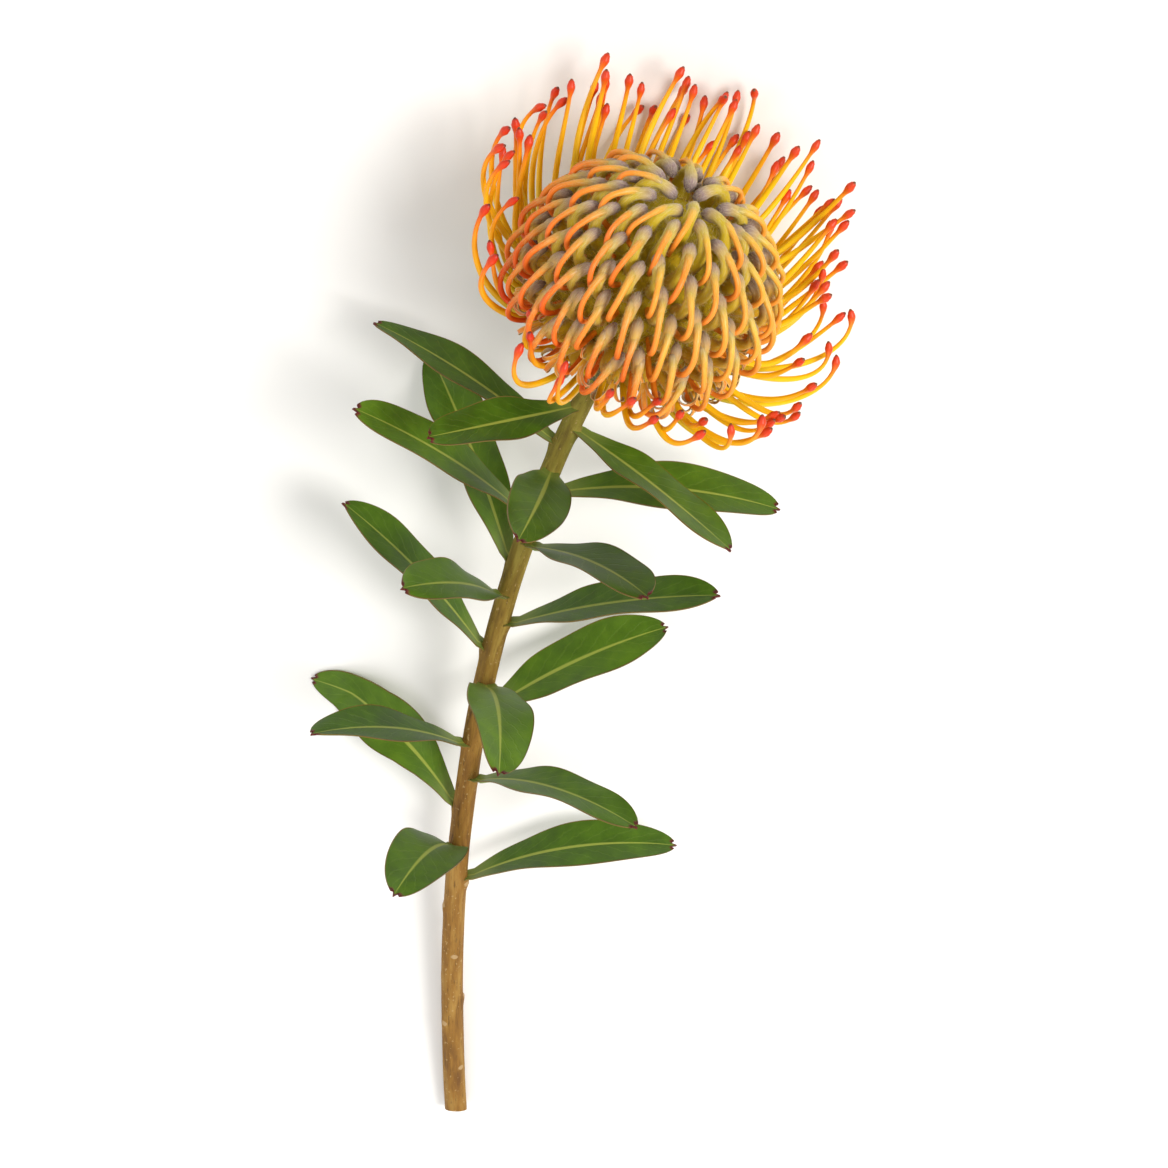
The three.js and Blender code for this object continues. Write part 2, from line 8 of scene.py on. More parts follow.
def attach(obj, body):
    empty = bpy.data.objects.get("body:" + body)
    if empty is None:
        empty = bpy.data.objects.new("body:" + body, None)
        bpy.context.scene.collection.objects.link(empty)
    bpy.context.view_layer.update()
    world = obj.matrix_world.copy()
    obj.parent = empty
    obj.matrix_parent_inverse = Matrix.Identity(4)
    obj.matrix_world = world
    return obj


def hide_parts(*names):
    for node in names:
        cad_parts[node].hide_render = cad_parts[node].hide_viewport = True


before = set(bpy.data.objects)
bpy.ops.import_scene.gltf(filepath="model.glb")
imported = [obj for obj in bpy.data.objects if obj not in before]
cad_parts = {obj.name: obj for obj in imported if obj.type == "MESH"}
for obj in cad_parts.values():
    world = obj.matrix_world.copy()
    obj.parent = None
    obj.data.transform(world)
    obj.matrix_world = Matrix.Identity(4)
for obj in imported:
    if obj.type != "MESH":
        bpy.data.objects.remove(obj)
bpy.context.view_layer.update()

MM = 0.001
DEGREE = math.pi / 180
QUARTER_TURN = math.pi / 2
Z_AXIS = np.array([0.0, 0.0, 1.0])

# Dimensions of the stem, shared with the part's source
CUT_END = np.array([-20.1, -199.6, 3.9])
NECK = np.array([8.9, 116.4, 48.0])
CUT_SLOPE = np.array([-0.1, 1.0, 0.09])
CUT_RADIUS = 4.0
NECK_RADIUS = 3.1
CUT_SLANT = 4.5
SEAT_GAP = 0.3
SCARS = 9
FIRST_SCAR = 0.07
SCAR_PITCH = 0.033
SCAR_TURN = 0.8

# Dimensions of the bloom, shared with the part's source.
# The head's own frame has Z along its axis and X up.
HEAD_LEAN = 20 * DEGREE
HEAD_LIFT = 12 * DEGREE
INVOLUCRE_DROP = 8
DOME_CENTRE = 22
DOME_RADIUS = 30
WRAP_RADIUS = 36
PIT_RADIUS = 5
PIT_DEPTH = 8
FLORETS = 150
BETWEEN_LOOSENESS = 1.8
PASSAGE_STOPS = np.array([5.6, 9, 13])
FIRST_POLAR = 18 * DEGREE
LAST_POLAR = 113 * DEGREE
GOLDEN_ANGLE = math.pi * (3 - math.sqrt(5))
SWIRL = 12 * DEGREE
SWIRL_REACH = 30 * DEGREE
SWIRL_STEP = 3 * DEGREE
SWIRL_WEIGHT = 0.05
CLOSED_TILT = 20 * DEGREE
CLOSED_SIDE = -25 * DEGREE
CLOSED_REACH = 85 * DEGREE
TIP_RING = 61
FRONT_RISE = 13
BACK_RISE = 58
BACK_DROOP = 14 * DEGREE
BACK_PULL = 9
NEAR_SIDE = -25 * DEGREE
NEAR_PULL = 10
NEAR_LIFT = 6
HOOK = -55
HOOKED_SIDE = -60 * DEGREE
HOOKED_SHARE = 0.7
SURFACE_CLEARANCE = 0.75

# Dimensions of the leaves, shared with the part's source
LEAF_COUNT = 18
FIRST_LEAF = 15
FIRST_LEAF_TURN = 2.1
LEAF_PITCH = 7.8
LEAF_PITCH_GROWTH = 0.48
LEAF_LENGTH = 70
LEAF_WIDTH = 20
WIDEST_SHARE = 0.54
LEAF_ROWS = 8
FOLD = math.tan(11 * DEGREE)
LEAF_SPREAD = 47 * DEGREE
LEAF_RECURVE = 30 * DEGREE
LEAF_ROLL = 24 * DEGREE
LEAF_DRIFT = 0.16
LEAF_SINK = 0.9
UNDER_CLEAR = 48 * DEGREE

# Fine sizes that only the looks have
STYLE_RADIUS = 0.95
PRESENTER_RADIUS = 1.25
PRESENTER_LENGTH = 5.6
LIMB_RADIUS = 1.95
LIMB_LENGTH = 8.6
CLAW_RADIUS = 2.3
CORE_RADIUS = 28.5
STRAND_SKEW = 8 * DEGREE
BETWEEN_SHARE = 0.9
RIBBON_WIDTH = 1.5
RIBBON_THICKNESS = 0.4
BRACT_THICKNESS = 0.5
BLADE_THICKNESS = 0.7
EDGE_THICKNESS = 0.42
RIB_THICKNESS = 1.5
LEAF_FOOT_SINK = 1.2
HAIR_SINK = 0.3
HAIR_WIDTH = 0.045
TINT_SHIFT = 91

# How finely the shapes are divided
PERIANTH_SIDES = 12
PERIANTH_POINTS = 34
LOOP_SIDES = 9
LOOP_POINTS = 30
STYLE_SIDES = 10
SHEATH_POINTS = 22
RIBBON_POINTS = 22
CORE_SIDES = 120
CUP_SIDES = 40
BRACT_POINTS = 12
BRACT_COLUMNS = 7
STEM_SIDES = 40
STEM_RINGS = 420
BLADE_RINGS = 57
BLADE_COLUMNS = 21

# How many hairs a limb and a bract have, and where the draws for all hairs start
LIMB_HAIRS = 170
BRACT_HAIRS = 90
HAIR_SEEDS = {"limb": 1000, "tube": 5000, "core": 7000, "bract": 9000}

# What each other draw is for. Those up to 26 have their numbers in the part's source too.
PURPOSES = {
    "closed reach": 1, "bow": 3, "rise": 4, "tip rise": 6, "tip reach": 7, "start angle": 8, "hook": 9,
    "end angle": 10, "sway": 11, "shy tip": 12, "between": 13, "leaf length": 21, "leaf width": 22,
    "leaf spread": 23, "leaf recurve": 24, "leaf drift": 25, "leaf roll": 26, "warmth": 31,
    "perianth size": 32, "perianth lean": 33, "perianth droop": 34, "perianth tint": 35, "loop sway": 36,
    "loop size": 37, "loop tint": 38, "style size": 39, "style tint": 40, "sheath tint": 41,
    "ribbon size": 42, "ribbon coil": 43, "ribbon end": 44, "ribbon turn": 45, "ribbon tint": 46,
    "skew": 47, "bract lift": 51, "bract tint": 52, "bract turn": 53, "bract size": 54,
    "wave pitch": 61, "wave start": 62, "wave height": 63, "leaf tint": 64,
}


# Small maths


def draw(item, purpose):
    """A repeatable draw from 0 to 1, the same one as in the part's source."""
    value = math.sin(item * 12.9898 + PURPOSES[purpose] * 78.233) * 43758.5453
    return value - math.floor(value)


def spread(item, purpose, amount):
    """A repeatable draw from -amount to amount."""
    return (draw(item, purpose) * 2 - 1) * amount


def hair_draws(kind, index=0):
    return np.random.default_rng(HAIR_SEEDS[kind] + index)


def lerp(low, high, share):
    return low + (high - low) * share


def smoothstep(value, low, high):
    share = np.clip((value - low) / (high - low), 0, 1)
    return share * share * (3 - 2 * share)


def unit(vectors):
    return vectors / np.linalg.norm(vectors, axis=-1, keepdims=True)


def directions_of(path):
    return unit(np.gradient(path, axis=0))


def circle(sides):
    """Evenly spaced angles, once round."""
    return np.linspace(0, 2 * math.pi, sides, endpoint=False)


def round_z(radius, around, height):
    """Points at a radius from the Z axis, an angle round it and a height along it."""
    return np.stack(np.broadcast_arrays(radius * np.cos(around), radius * np.sin(around), height), -1)


def sphere_point(polar, around):
    return round_z(np.sin(polar), around, np.cos(polar))


def spun(first, second, angle):
    """Two vectors at right angles, both turned by an angle from the first towards the second."""
    cosine, sine = math.cos(angle), math.sin(angle)
    return first * cosine + second * sine, second * cosine - first * sine


def turned(vector, axis, angle):
    """The vector turned about a unit axis."""
    along = axis * np.dot(axis, vector)
    return along + (vector - along) * math.cos(angle) + np.cross(axis, vector) * math.sin(angle)


def bezier(controls, t):
    a, b, c, d = controls
    t = np.asarray(t, float)[..., None]
    s = 1 - t
    return s**3 * a + 3 * s * s * t * b + 3 * s * t * t * c + t**3 * d


def bezier_slope(controls, t):
    a, b, c, d = controls
    t = np.asarray(t, float)[..., None]
    s = 1 - t
    return 3 * s * s * (b - a) + 6 * s * t * (c - b) + 3 * t * t * (d - c)


def reach_along(points):
    """The distance from the first point to each one."""
    steps = np.linalg.norm(np.diff(points, axis=0), axis=1)
    return np.concatenate([[0.0], np.cumsum(steps)])


def at_shares(points, shares):
    """Points at these shares of a line's length."""
    reach = reach_along(points)
    return np.stack([np.interp(shares * reach[-1], reach, column) for column in points.T], 1)


def curve_through(stops, count):
    """Evenly spaced points on a smooth curve through the stops."""
    stops = np.asarray(stops, float)
    padded = np.vstack([2 * stops[0] - stops[1], stops, 2 * stops[-1] - stops[-2]])
    t = np.linspace(0, len(stops) - 1, 12 * (len(stops) - 1) + 1)
    first = np.minimum(t.astype(int), len(stops) - 2)
    f = (t - first)[:, None]
    a, b, c, d = (padded[first + k] for k in range(4))
    bend = (2 * a - 5 * b + 4 * c - d) * f**2 + (3 * b - a - 3 * c + d) * f**3
    return at_shares(0.5 * (2 * b + (c - a) * f + bend), np.linspace(0, 1, count))


def profile_of(shares, stops):
    """Values between (share, value) stops, eased at each."""
    at, values = np.array(stops, float).T
    low = np.clip(np.searchsorted(at, shares, side="right") - 1, 0, len(at) - 2)
    return lerp(values[low], values[low + 1], smoothstep(shares, at[low], at[low + 1]))


# Meshes


def new_object(name, data):
    """A new object of the scene."""
    made = bpy.data.objects.new(name, data)
    bpy.context.scene.collection.objects.link(made)
    return made


def grid_quads(number, flip=False):
    """The faces between the rows and columns of a grid of point numbers."""
    a, b, c, d = number[:-1, :-1], number[:-1, 1:], number[1:, 1:], number[1:, :-1]
    order = (a, d, c, b) if flip else (a, b, c, d)
    return np.stack(order, 2).reshape(-1, 4, *number.shape[2:])


def patch_grid(rows, columns, row_ends, column_ends):
    """Evenly spaced places over a patch of the map."""
    spans = (np.linspace(*row_ends, rows), np.linspace(*column_ends, columns))
    return np.stack(np.meshgrid(*spans, indexing="ij"), -1)


class Shell:
    """Grids of points made into one mesh. Points have named numbers, and each grid a patch of the map."""

    def __init__(self):
        self.points = []
        self.faces = []
        self.places = []
        self.values = {}
        self.count = 0
        self.patches = 0

    def keep(self, points, values):
        """Adds a grid of points and their values, and gives the points' numbers."""
        for name, value in values.items():
            shape, depth = (points.shape, 3) if name == "grain" else (points.shape[:-1], 1)
            self.values.setdefault(name, []).append(np.broadcast_to(value, shape).reshape(-1, depth))
        number = self.count + np.arange(points.size // 3).reshape(points.shape[:-1])
        self.points.append(points.reshape(-1, 3))
        self.count += number.size
        return number

    def face(self, corners, places):
        """Adds faces with a place on the current patch for each corner."""
        self.faces.extend(corners.tolist())
        patch = np.full((*places.shape[:-1], 1), self.patches, float)
        self.places.append(np.concatenate([places, patch], -1).reshape(-1, 3))

    def tube(self, rings, **values):
        """A closed tube through rings of points, flat at both ends."""
        number = self.keep(rings, values)
        rows, sides = number.shape
        wrapped = np.concatenate([number, number[:, :1]], 1)
        place = patch_grid(rows, sides + 1, (0.05, 0.95), (0.05, 0.95))
        self.face(grid_quads(wrapped), grid_quads(place))
        disc = 0.02 * round_z(1, circle(sides), 0)[:, :2]
        self.face(number[:1, ::-1], (disc + (0.02, 0.5))[None])
        self.face(number[-1:], (disc + (0.98, 0.5))[None])
        self.patches += 1

    def skin(self, rings, grain, tint, **values):
        """A tube with a tint of its own, which also shifts its grain."""
        self.tube(rings, tint=tint, grain=grain + (tint * TINT_SHIFT, 0, 0), **values)

    def blade(self, front, back, **values):
        """A closed blade between a front and a back grid; rows go along it and columns across."""
        number = self.keep(np.stack([front, back]), values)
        place = patch_grid(*front.shape[:2], (0.04, 0.96), (0.03, 0.47))[..., ::-1]
        self.face(grid_quads(number[0], flip=True), grid_quads(place, flip=True))
        self.face(grid_quads(number[1]), grid_quads(place + (0.5, 0)))
        rims = [
            (number[:, :, 0], place[:, 0], (-0.015, 0), False),
            (number[:, :, -1], place[:, -1], (0.015, 0), True),
            (number[:, 0, :], place[0], (0, -0.02), True),
            (number[:, -1, :], place[-1], (0, 0.02), False),
        ]
        for edge, at, outside, flip in rims:
            self.face(grid_quads(edge, flip), grid_quads(np.stack([at, at + outside]), flip))
        self.patches += 1

    def spikes(self, feet, directions, lengths, width, tint):
        """Hairs, each a thin three-sided spike with its foot sunk in."""
        feet = feet - directions * HAIR_SINK
        aside = unit(np.cross(directions, Z_AXIS + 0.01))
        other = np.cross(directions, aside)
        corners = [feet + width * spun(aside, other, angle)[0] for angle in circle(3)]
        corners.append(feet + directions * (lengths + HAIR_SINK)[:, None])
        number = self.keep(np.stack(corners, 1), {"along": np.array([0, 0, 0, 1.0]), "tint": tint[:, None]})
        triangles = number[:, [[0, 1, 3], [1, 2, 3], [2, 0, 3], [0, 2, 1]]].reshape(-1, 3)
        # The colour depends on the two numbers alone, so they are the place on the map too
        u = np.broadcast_to(tint[:, None, None], (len(feet), 4, 3))
        v = np.broadcast_to(np.array([[0, 0, 1], [0, 0, 1], [0, 0, 1], [0, 0, 0]], float), u.shape)
        step = np.array([0, 0.01, 0.005])
        self.face(triangles, np.stack([0.05 + 0.88 * u + step, 0.05 + 0.9 * v], -1).reshape(-1, 3, 2))

    def map_places(self, aspect):
        """The places of all corners on one map, its patches laid out in rows."""
        places = np.concatenate(self.places)
        patches = max(self.patches, 1)
        across = max(1, round(math.sqrt(patches / aspect)))
        down = math.ceil(patches / across)
        column, row = places[:, 2] % across, places[:, 2] // across
        return np.stack([(places[:, 0] + column) / across, (places[:, 1] + row) / down], 1)

    def make(self, name, material, slot, nodes, aspect=1.0):
        """The piece for these nodes. Patches of its map are about aspect times as wide as they are tall."""
        mesh = bpy.data.meshes.new(name)
        mesh.from_pydata((np.concatenate(self.points) * MM).tolist(), [], self.faces)
        mesh.shade_smooth()
        for key, parts in self.values.items():
            kind, field = ("FLOAT_VECTOR", "vector") if key == "grain" else ("FLOAT", "value")
            attribute = mesh.attributes.new(key, kind, "POINT")
            attribute.data.foreach_set(field, np.concatenate(parts).astype(np.float32).ravel())
        layer = mesh.uv_layers.new(name="OFBake")
        layer.uv.foreach_set("vector", self.map_places(aspect).astype(np.float32).ravel())
        mesh.materials.append(material)
        piece = new_object(name, mesh)
        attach(piece, "root")
        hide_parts(*nodes)
        return piece


def rings_round(path, radii, side, sides):
    """Rings of points round a path, and the grain there: two numbers round it and one along it."""
    along = directions_of(path)
    across = unit(side - along * (along @ side)[:, None])
    out = np.cross(across, along)
    radii = np.broadcast_to(radii.reshape(len(path), -1), (len(path), sides))
    high = radii * np.cos(circle(sides))
    wide = radii * np.sin(circle(sides))
    rings = path[:, None] + out[:, None] * high[..., None] + across[:, None] * wide[..., None]
    length = np.broadcast_to(reach_along(path)[:, None], high.shape)
    return rings, np.stack([high, wide, length], -1)


def strip(path, across, half, columns, hollow):
    """A strip of points along a path, with its half width at each row and its edges moved by the hollow."""
    wide = half[:, None] * columns
    return path[:, None] + across * wide[..., None] + hollow * (wide * columns)[..., None]


# The head's frame and its florets

HEAD_AXIS = round_z(math.cos(HEAD_LIFT), QUARTER_TURN - HEAD_LEAN, math.sin(HEAD_LIFT))
HEAD_UP = unit(Z_AXIS - HEAD_AXIS * HEAD_AXIS[2])
HEAD_BASIS = np.stack([HEAD_UP, np.cross(HEAD_AXIS, HEAD_UP), HEAD_AXIS])
HEAD_BASE = NECK + HEAD_AXIS * INVOLUCRE_DROP
# Two florets whose directions have a larger cosine between them are the same one
SAME_PLACE = 0.9999


def placed(points, clearance=None):
    """Points of the head's frame in the part's frame, kept at least the clearance over the surface."""
    points = points @ HEAD_BASIS + HEAD_BASE
    if clearance is not None:
        points[..., 2] = np.maximum(points[..., 2], clearance)
    return points


def add_hairs(hairs, feet, directions, lengths, tint, width=HAIR_WIDTH, clearance=None):
    """Hairs whose feet and directions are in the head's frame."""
    hairs.spikes(placed(feet, clearance), unit(directions) @ HEAD_BASIS, lengths, width, tint)


class Floret:
    """One floret on the dome, at its place in the spiral. Half places lie between the whole ones."""

    def __init__(self, place):
        self.between = place % 1 > 0
        self.index = int(place) + (FLORETS if self.between else 0)
        self.share = (place + 0.5) / FLORETS
        self.polar = math.acos(lerp(math.cos(FIRST_POLAR), math.cos(LAST_POLAR), self.share))
        self.around = place * GOLDEN_ANGLE
        self.outward = sphere_point(self.polar, self.around)
        self.along = round_z(math.cos(self.polar), self.around, -math.sin(self.polar))
        self.across = round_z(1, self.around + QUARTER_TURN, 0)
        reach = CLOSED_REACH + spread(self.index, "closed reach", 3 * DEGREE)
        self.open = self.outward @ sphere_point(CLOSED_TILT, CLOSED_SIDE) < math.cos(reach)

    def settle(self, everyone):
        """Turns the floret into the gap between its neighbours that is nearest to the swirl."""
        others = everyone[everyone @ self.outward < SAME_PLACE]
        steps = PASSAGE_STOPS[:, None] / WRAP_RADIUS
        best, best_turn = -math.inf, 0
        turn = SWIRL - SWIRL_REACH
        while turn <= SWIRL + SWIRL_REACH:
            along = spun(self.along, self.across, turn)[0]
            spots = self.outward * np.cos(steps) + along * np.sin(steps)
            nearest = math.acos(min(1, (spots @ others.T).max()))
            score = nearest - SWIRL_WEIGHT * abs(turn - SWIRL)
            if score > best:
                best, best_turn = score, turn
            turn += SWIRL_STEP
        askew = best_turn + spread(self.index, "skew", STRAND_SKEW)
        self.along, self.across = spun(self.along, self.across, askew)

    def dome_point(self, distance, height, aside=0.0):
        """A point at a distance along the dome from the floret, at a height over it and to its side."""
        step = np.asarray(distance, float)[..., None] / WRAP_RADIUS
        height = np.asarray(height, float)[..., None]
        direction = self.outward * np.cos(step) + self.along * np.sin(step)
        point = direction * (DOME_RADIUS + height) + (0, 0, DOME_CENTRE)
        return point + self.across * np.asarray(aside, float)[..., None]

    def warmth(self):
        """How orange the floret is: least at the pole and on the bloom's right, most low on its left."""
        left = -self.outward[1]
        low = 0.63 * self.outward[0] - 0.71 * self.outward[2]
        return np.clip(0.38 + 0.38 * left + 0.36 * low + spread(self.index, "warmth", 0.22), 0, 1)


def settled_florets():
    """All florets in their gaps, the closed ones first."""
    florets = [Floret(index) for index in range(FLORETS)]
    everyone = np.array([floret.outward for floret in florets])
    between = [Floret(index + 0.5) for index in range(FLORETS - 1)]
    florets += [one for one in between if one.open and draw(one.index, "between") < BETWEEN_SHARE]
    for floret in florets:
        floret.settle(everyone)
    return sorted(florets, key=lambda floret: floret.open)


# The closed florets: perianth tube and hairy limb, and the style that bows out of it.
# Each stop of a route has its distance along the dome, its height over it and its share of the sway.

PERIANTH_ROUTE = [
    (4.2, -6.0, 0), (3.9, -1.5, 0), (3.1, 2.6, 0), (1.1, 5.7, 0.1),
    (-1.7, 7.1, 0.4), (-4.6, 6.7, 0.8), (-7.3, 5.0, 1),
]
LOOP_ROUTE = [
    (-4.2, 6.7, 0), (-0.8, 8.7, 0), (5, 10.3, 0.3), (9, 9.3, 0.9),
    (11.6, 5.4, 1.2), (11.5, 0, 1), (9.8, -5, 0.4), (7, -10, 0),
]
# Radii by the place on the limb, from 0 at its base to 1 at its tip, and below 0 on the tube
CLAW_RADII = [(-3.5, 0.8), (-1.8, CLAW_RADIUS), (-0.9, CLAW_RADIUS), (-0.2, CLAW_RADIUS * 0.72)]
LIMB_OUTLINE = [(0.1, 0.78), (0.36, 0.88), (0.66, 1), (0.88, 0.74), (1, 0.25)]
PERIANTH_RADII = CLAW_RADII + [(at, LIMB_RADIUS * wide) for at, wide in LIMB_OUTLINE]
# The style is thick and woolly where it leaves the limb, then slim
LOOP_RADII = [(0, 1.1), (0.05, 1.3), (0.14, 1.06), (0.24, 0.87), (0.6, 0.86), (1, 0.95)]


def root_of(floret):
    """Where the floret stands on the receptacle, as a radius from the axis and a height along it."""
    return np.array([10 * math.sqrt(floret.share), 3 + 25 * (1 - floret.share)])


def tube_to(floret, top, foot_count, count):
    """A perianth tube from the receptacle on through its top points. The outermost sag under the dome."""
    radius, height = root_of(floret)
    start = round_z(radius, floret.around, height)
    outer = smoothstep(floret.polar, 70 * DEGREE, LAST_POLAR)
    middle = lerp(start, top[0], 0.72) - 11.5 * outer * Z_AXIS
    controls = [start, lerp(start, middle, 0.55), middle, top[0]]
    foot = bezier(controls, np.linspace(0.25 * (1 - outer), 1, foot_count))
    return curve_through(np.vstack([foot[:-1], top]), count)


def perianth_path(floret):
    """Up from the receptacle, over the dome and down to the limb's blunt tip near the pole.
    The innermost limbs reach further and nod into the pit."""
    distance, height, aside = np.array(PERIANTH_ROUTE).T
    inner = 1 - smoothstep(floret.polar, 16 * DEGREE, 36 * DEGREE)
    distance[-2:] -= np.array([0.8, 2.2]) * inner
    height[-2:] -= np.array([0.8, 2.8]) * inner
    height[-1] += spread(floret.index, "perianth droop", 0.5)
    size = 1 + spread(floret.index, "perianth size", 0.06)
    lean = spread(floret.index, "perianth lean", 1.2)
    top = floret.dome_point(distance * size, height * size, aside * lean)
    return tube_to(floret, top, 5, PERIANTH_POINTS)


def add_perianth(shell, floret, hairs):
    """The tube and limb. Its colours turn tan and golden low on the dome and on the bloom's right."""
    path = perianth_path(floret)
    limb = 1 - np.linspace(1, 0, len(path)) * reach_along(path)[-1] / LIMB_LENGTH
    radii = profile_of(limb, PERIANTH_RADII)[:, None]
    radii = radii * lerp(1.04, 0.84, smoothstep(floret.polar, 25 * DEGREE, 95 * DEGREE))
    lobes = 1 + 0.06 * np.cos(4 * circle(PERIANTH_SIDES)) * smoothstep(limb, -0.2, 0.4)[:, None]
    rings, grain = rings_round(path, radii * lobes, floret.across, PERIANTH_SIDES)
    low = np.clip(smoothstep(floret.polar, 25 * DEGREE, 90 * DEGREE) + 0.35 * floret.outward[1], 0, 1)
    along = np.clip(0.5 + 0.5 * limb, 0, 1)[:, None]
    shell.skin(placed(rings), grain, draw(floret.index, "perianth tint"), along=along, low=low)
    add_limb_hairs(hairs, floret, path, rings, limb)


def add_limb_hairs(hairs, floret, path, rings, limb):
    """Silky hairs that lie along the limb, silver on its tip, and stand off the tube below, yellowish."""
    chance = hair_draws("limb", floret.index)
    row = chance.uniform(np.searchsorted(limb, -0.8), len(path) - 1.2, LIMB_HAIRS)
    column = chance.integers(0, PERIANTH_SIDES, LIMB_HAIRS)
    low = row.astype(int)
    part = (row - low)[:, None]
    feet = lerp(rings[low, column], rings[low + 1, column], part)
    outward = unit(feet - lerp(path[low], path[low + 1], part))
    ahead = unit(path[low + 1] - path[low])
    on_limb = smoothstep(limb[low], -0.2, 0.3)[:, None]
    loose = chance.normal(0, 0.16, (LIMB_HAIRS, 3))
    directions = ahead * lerp(0.45, 1.0, on_limb) + outward * lerp(0.9, 0.28, on_limb) + loose
    lengths = chance.uniform(0.9, 1.7, LIMB_HAIRS) * lerp(0.75, 1.0, on_limb[:, 0])
    plain = 0.7 * smoothstep(floret.polar, 35 * DEGREE, 90 * DEGREE)
    silver = smoothstep(limb[low], 0.1, 0.6) * (1 - plain) + chance.normal(0, 0.1, LIMB_HAIRS)
    add_hairs(hairs, feet - outward * 0.05, directions, lengths, np.clip(silver, 0, 1), width=0.05)


def loop_path(floret):
    """The style of a closed floret, out of the limb, away from the pole and down into the dome."""
    low = smoothstep(floret.polar, FIRST_POLAR, 85 * DEGREE)
    distance, height, aside = np.array(LOOP_ROUTE).T
    distance[2:] *= lerp(0.8, 1.12, low) * (1 + spread(floret.index, "bow", 0.1))
    height[2:5] *= lerp(0.92, 1.06, low) * (1 + spread(floret.index, "rise", 0.06))
    aside *= spread(floret.index, "loop sway", 1.5)
    return curve_through(floret.dome_point(distance, height, aside), LOOP_POINTS)


def loop_radii(floret, shares):
    size = 1 + spread(floret.index, "loop size", 0.08)
    return STYLE_RADIUS * size * profile_of(shares, LOOP_RADII)


def add_loop(shell, floret):
    path = loop_path(floret)
    shares = np.linspace(0, 1, len(path))
    rings, grain = rings_round(path, loop_radii(floret, shares), floret.across, LOOP_SIDES)
    tint = draw(floret.index, "loop tint")
    shell.skin(placed(rings), grain, tint, along=shares[:, None], warm=floret.warmth())


# The open florets: a long style with a pollen presenter, and the curled-back perianth at its foot

SHEATH_RADII = [(0, 0.9), (0.5, CLAW_RADIUS * 0.85), (0.85, CLAW_RADIUS), (1, 1.2)]
RIBBON_FANS = (-38, 4, 42, 178)
SMALL_RIBBON = 0.62
RIBBON_OUTLINE = [(0, 0.9), (0.5, 1.0), (0.78, 0.66), (0.9, 0.95), (1, 0.35)]


def style_controls(floret):
    """Control points of an open style, each a radius from the head's axis and a height along it.
    The ring of tips is tilted: it is low at the head's upper side and high at the side on the surface.
    On the near side the tips reach less far, and more of them hook back."""
    index = floret.index
    outer = np.clip((floret.polar - 60 * DEGREE) / (LAST_POLAR - 60 * DEGREE), 0, 1)
    back = smoothstep(0.5 - 0.5 * math.cos(floret.around), 0.1, 0.95)
    near = smoothstep(math.cos(floret.around - NEAR_SIDE), -0.3, 0.8)
    root = root_of(floret)
    loose = BETWEEN_LOOSENESS if floret.between else 1.0
    layer = lerp(10, -12, outer) * back
    level = lerp(FRONT_RISE, BACK_RISE, back) + NEAR_LIFT * near
    rise = level + layer + spread(index, "tip rise", 3.5 * loose)
    shy = 8 * draw(index, "shy tip") ** (3 / loose) + NEAR_PULL * near
    reach = TIP_RING - 1.5 - lerp(3, 0, outer) - shy + spread(index, "tip reach", 1.5)
    start_angle = floret.polar + BACK_DROOP * back + spread(index, "start angle", 4 * DEGREE)
    hook_chance = lerp(0.1, HOOKED_SHARE, 0.5 + 0.5 * math.cos(floret.around - HOOKED_SIDE))
    hook = HOOK if draw(index, "hook") < hook_chance else 0
    end_angle = (lerp(9, 28, outer) + hook + spread(index, "end angle", 11)) * DEGREE
    start_pull = lerp(33, 29, outer) + BACK_PULL * back
    end_pull = lerp(20, 15, outer)
    tip = np.array([reach, rise])
    second = root + start_pull * sphere_point(start_angle, 0)[[0, 2]]
    third = tip - end_pull * sphere_point(end_angle, 0)[[0, 2]]
    return outer, [root, second, third, tip]


def open_style_path(floret):
    """The style from inside the dome to its tip, in the part's frame, kept just over the surface."""
    outer, controls = style_controls(floret)
    shares = np.linspace(0, 1, 60)
    radius, height = bezier(controls, lerp(lerp(0.28, 0.08, outer), 1, shares)).T
    around = floret.around + spread(floret.index, "sway", 7) / TIP_RING * shares**2
    return placed(round_z(radius, around, height), SURFACE_CLEARANCE)


def add_open_style(shell, floret):
    fine = open_style_path(floret)
    length = reach_along(fine)[-1]
    bulb = PRESENTER_LENGTH / length
    shares = np.concatenate([np.linspace(0, 1 - bulb, 30)[:-1], np.linspace(1 - bulb, 1, 14)])
    from_tip = (1 - shares) * length
    shaft = [(-length, 1.12), (-length * 0.5, 0.98), (-PRESENTER_LENGTH, 0.66)]
    stops = [(at, STYLE_RADIUS * wide) for at, wide in shaft]
    stops += [(at, PRESENTER_RADIUS * wide) for at, wide in ((-2.3, 1), (-0.9, 0.72))]
    size = 1 + spread(floret.index, "style size", 0.1)
    radii = profile_of(-from_tip, [(at, radius * size) for at, radius in stops] + [(0, 0.3)])
    side = round_z(1, floret.around + QUARTER_TURN, 0) @ HEAD_BASIS
    rings, grain = rings_round(at_shares(fine, shares), radii, side, STYLE_SIDES)
    rings[..., 2] = np.maximum(rings[..., 2], 0)
    along = np.clip(1 - from_tip / 40, 0, 1)[:, None]
    shell.skin(rings, grain, draw(floret.index, "style tint"), along=along, warm=floret.warmth())


def sheath_path(floret):
    """The lower perianth tube of an open floret, from the receptacle to where it splits."""
    return tube_to(floret, floret.dome_point([1.4, 1.5], [-4.0, 2.2]), 7, SHEATH_POINTS)


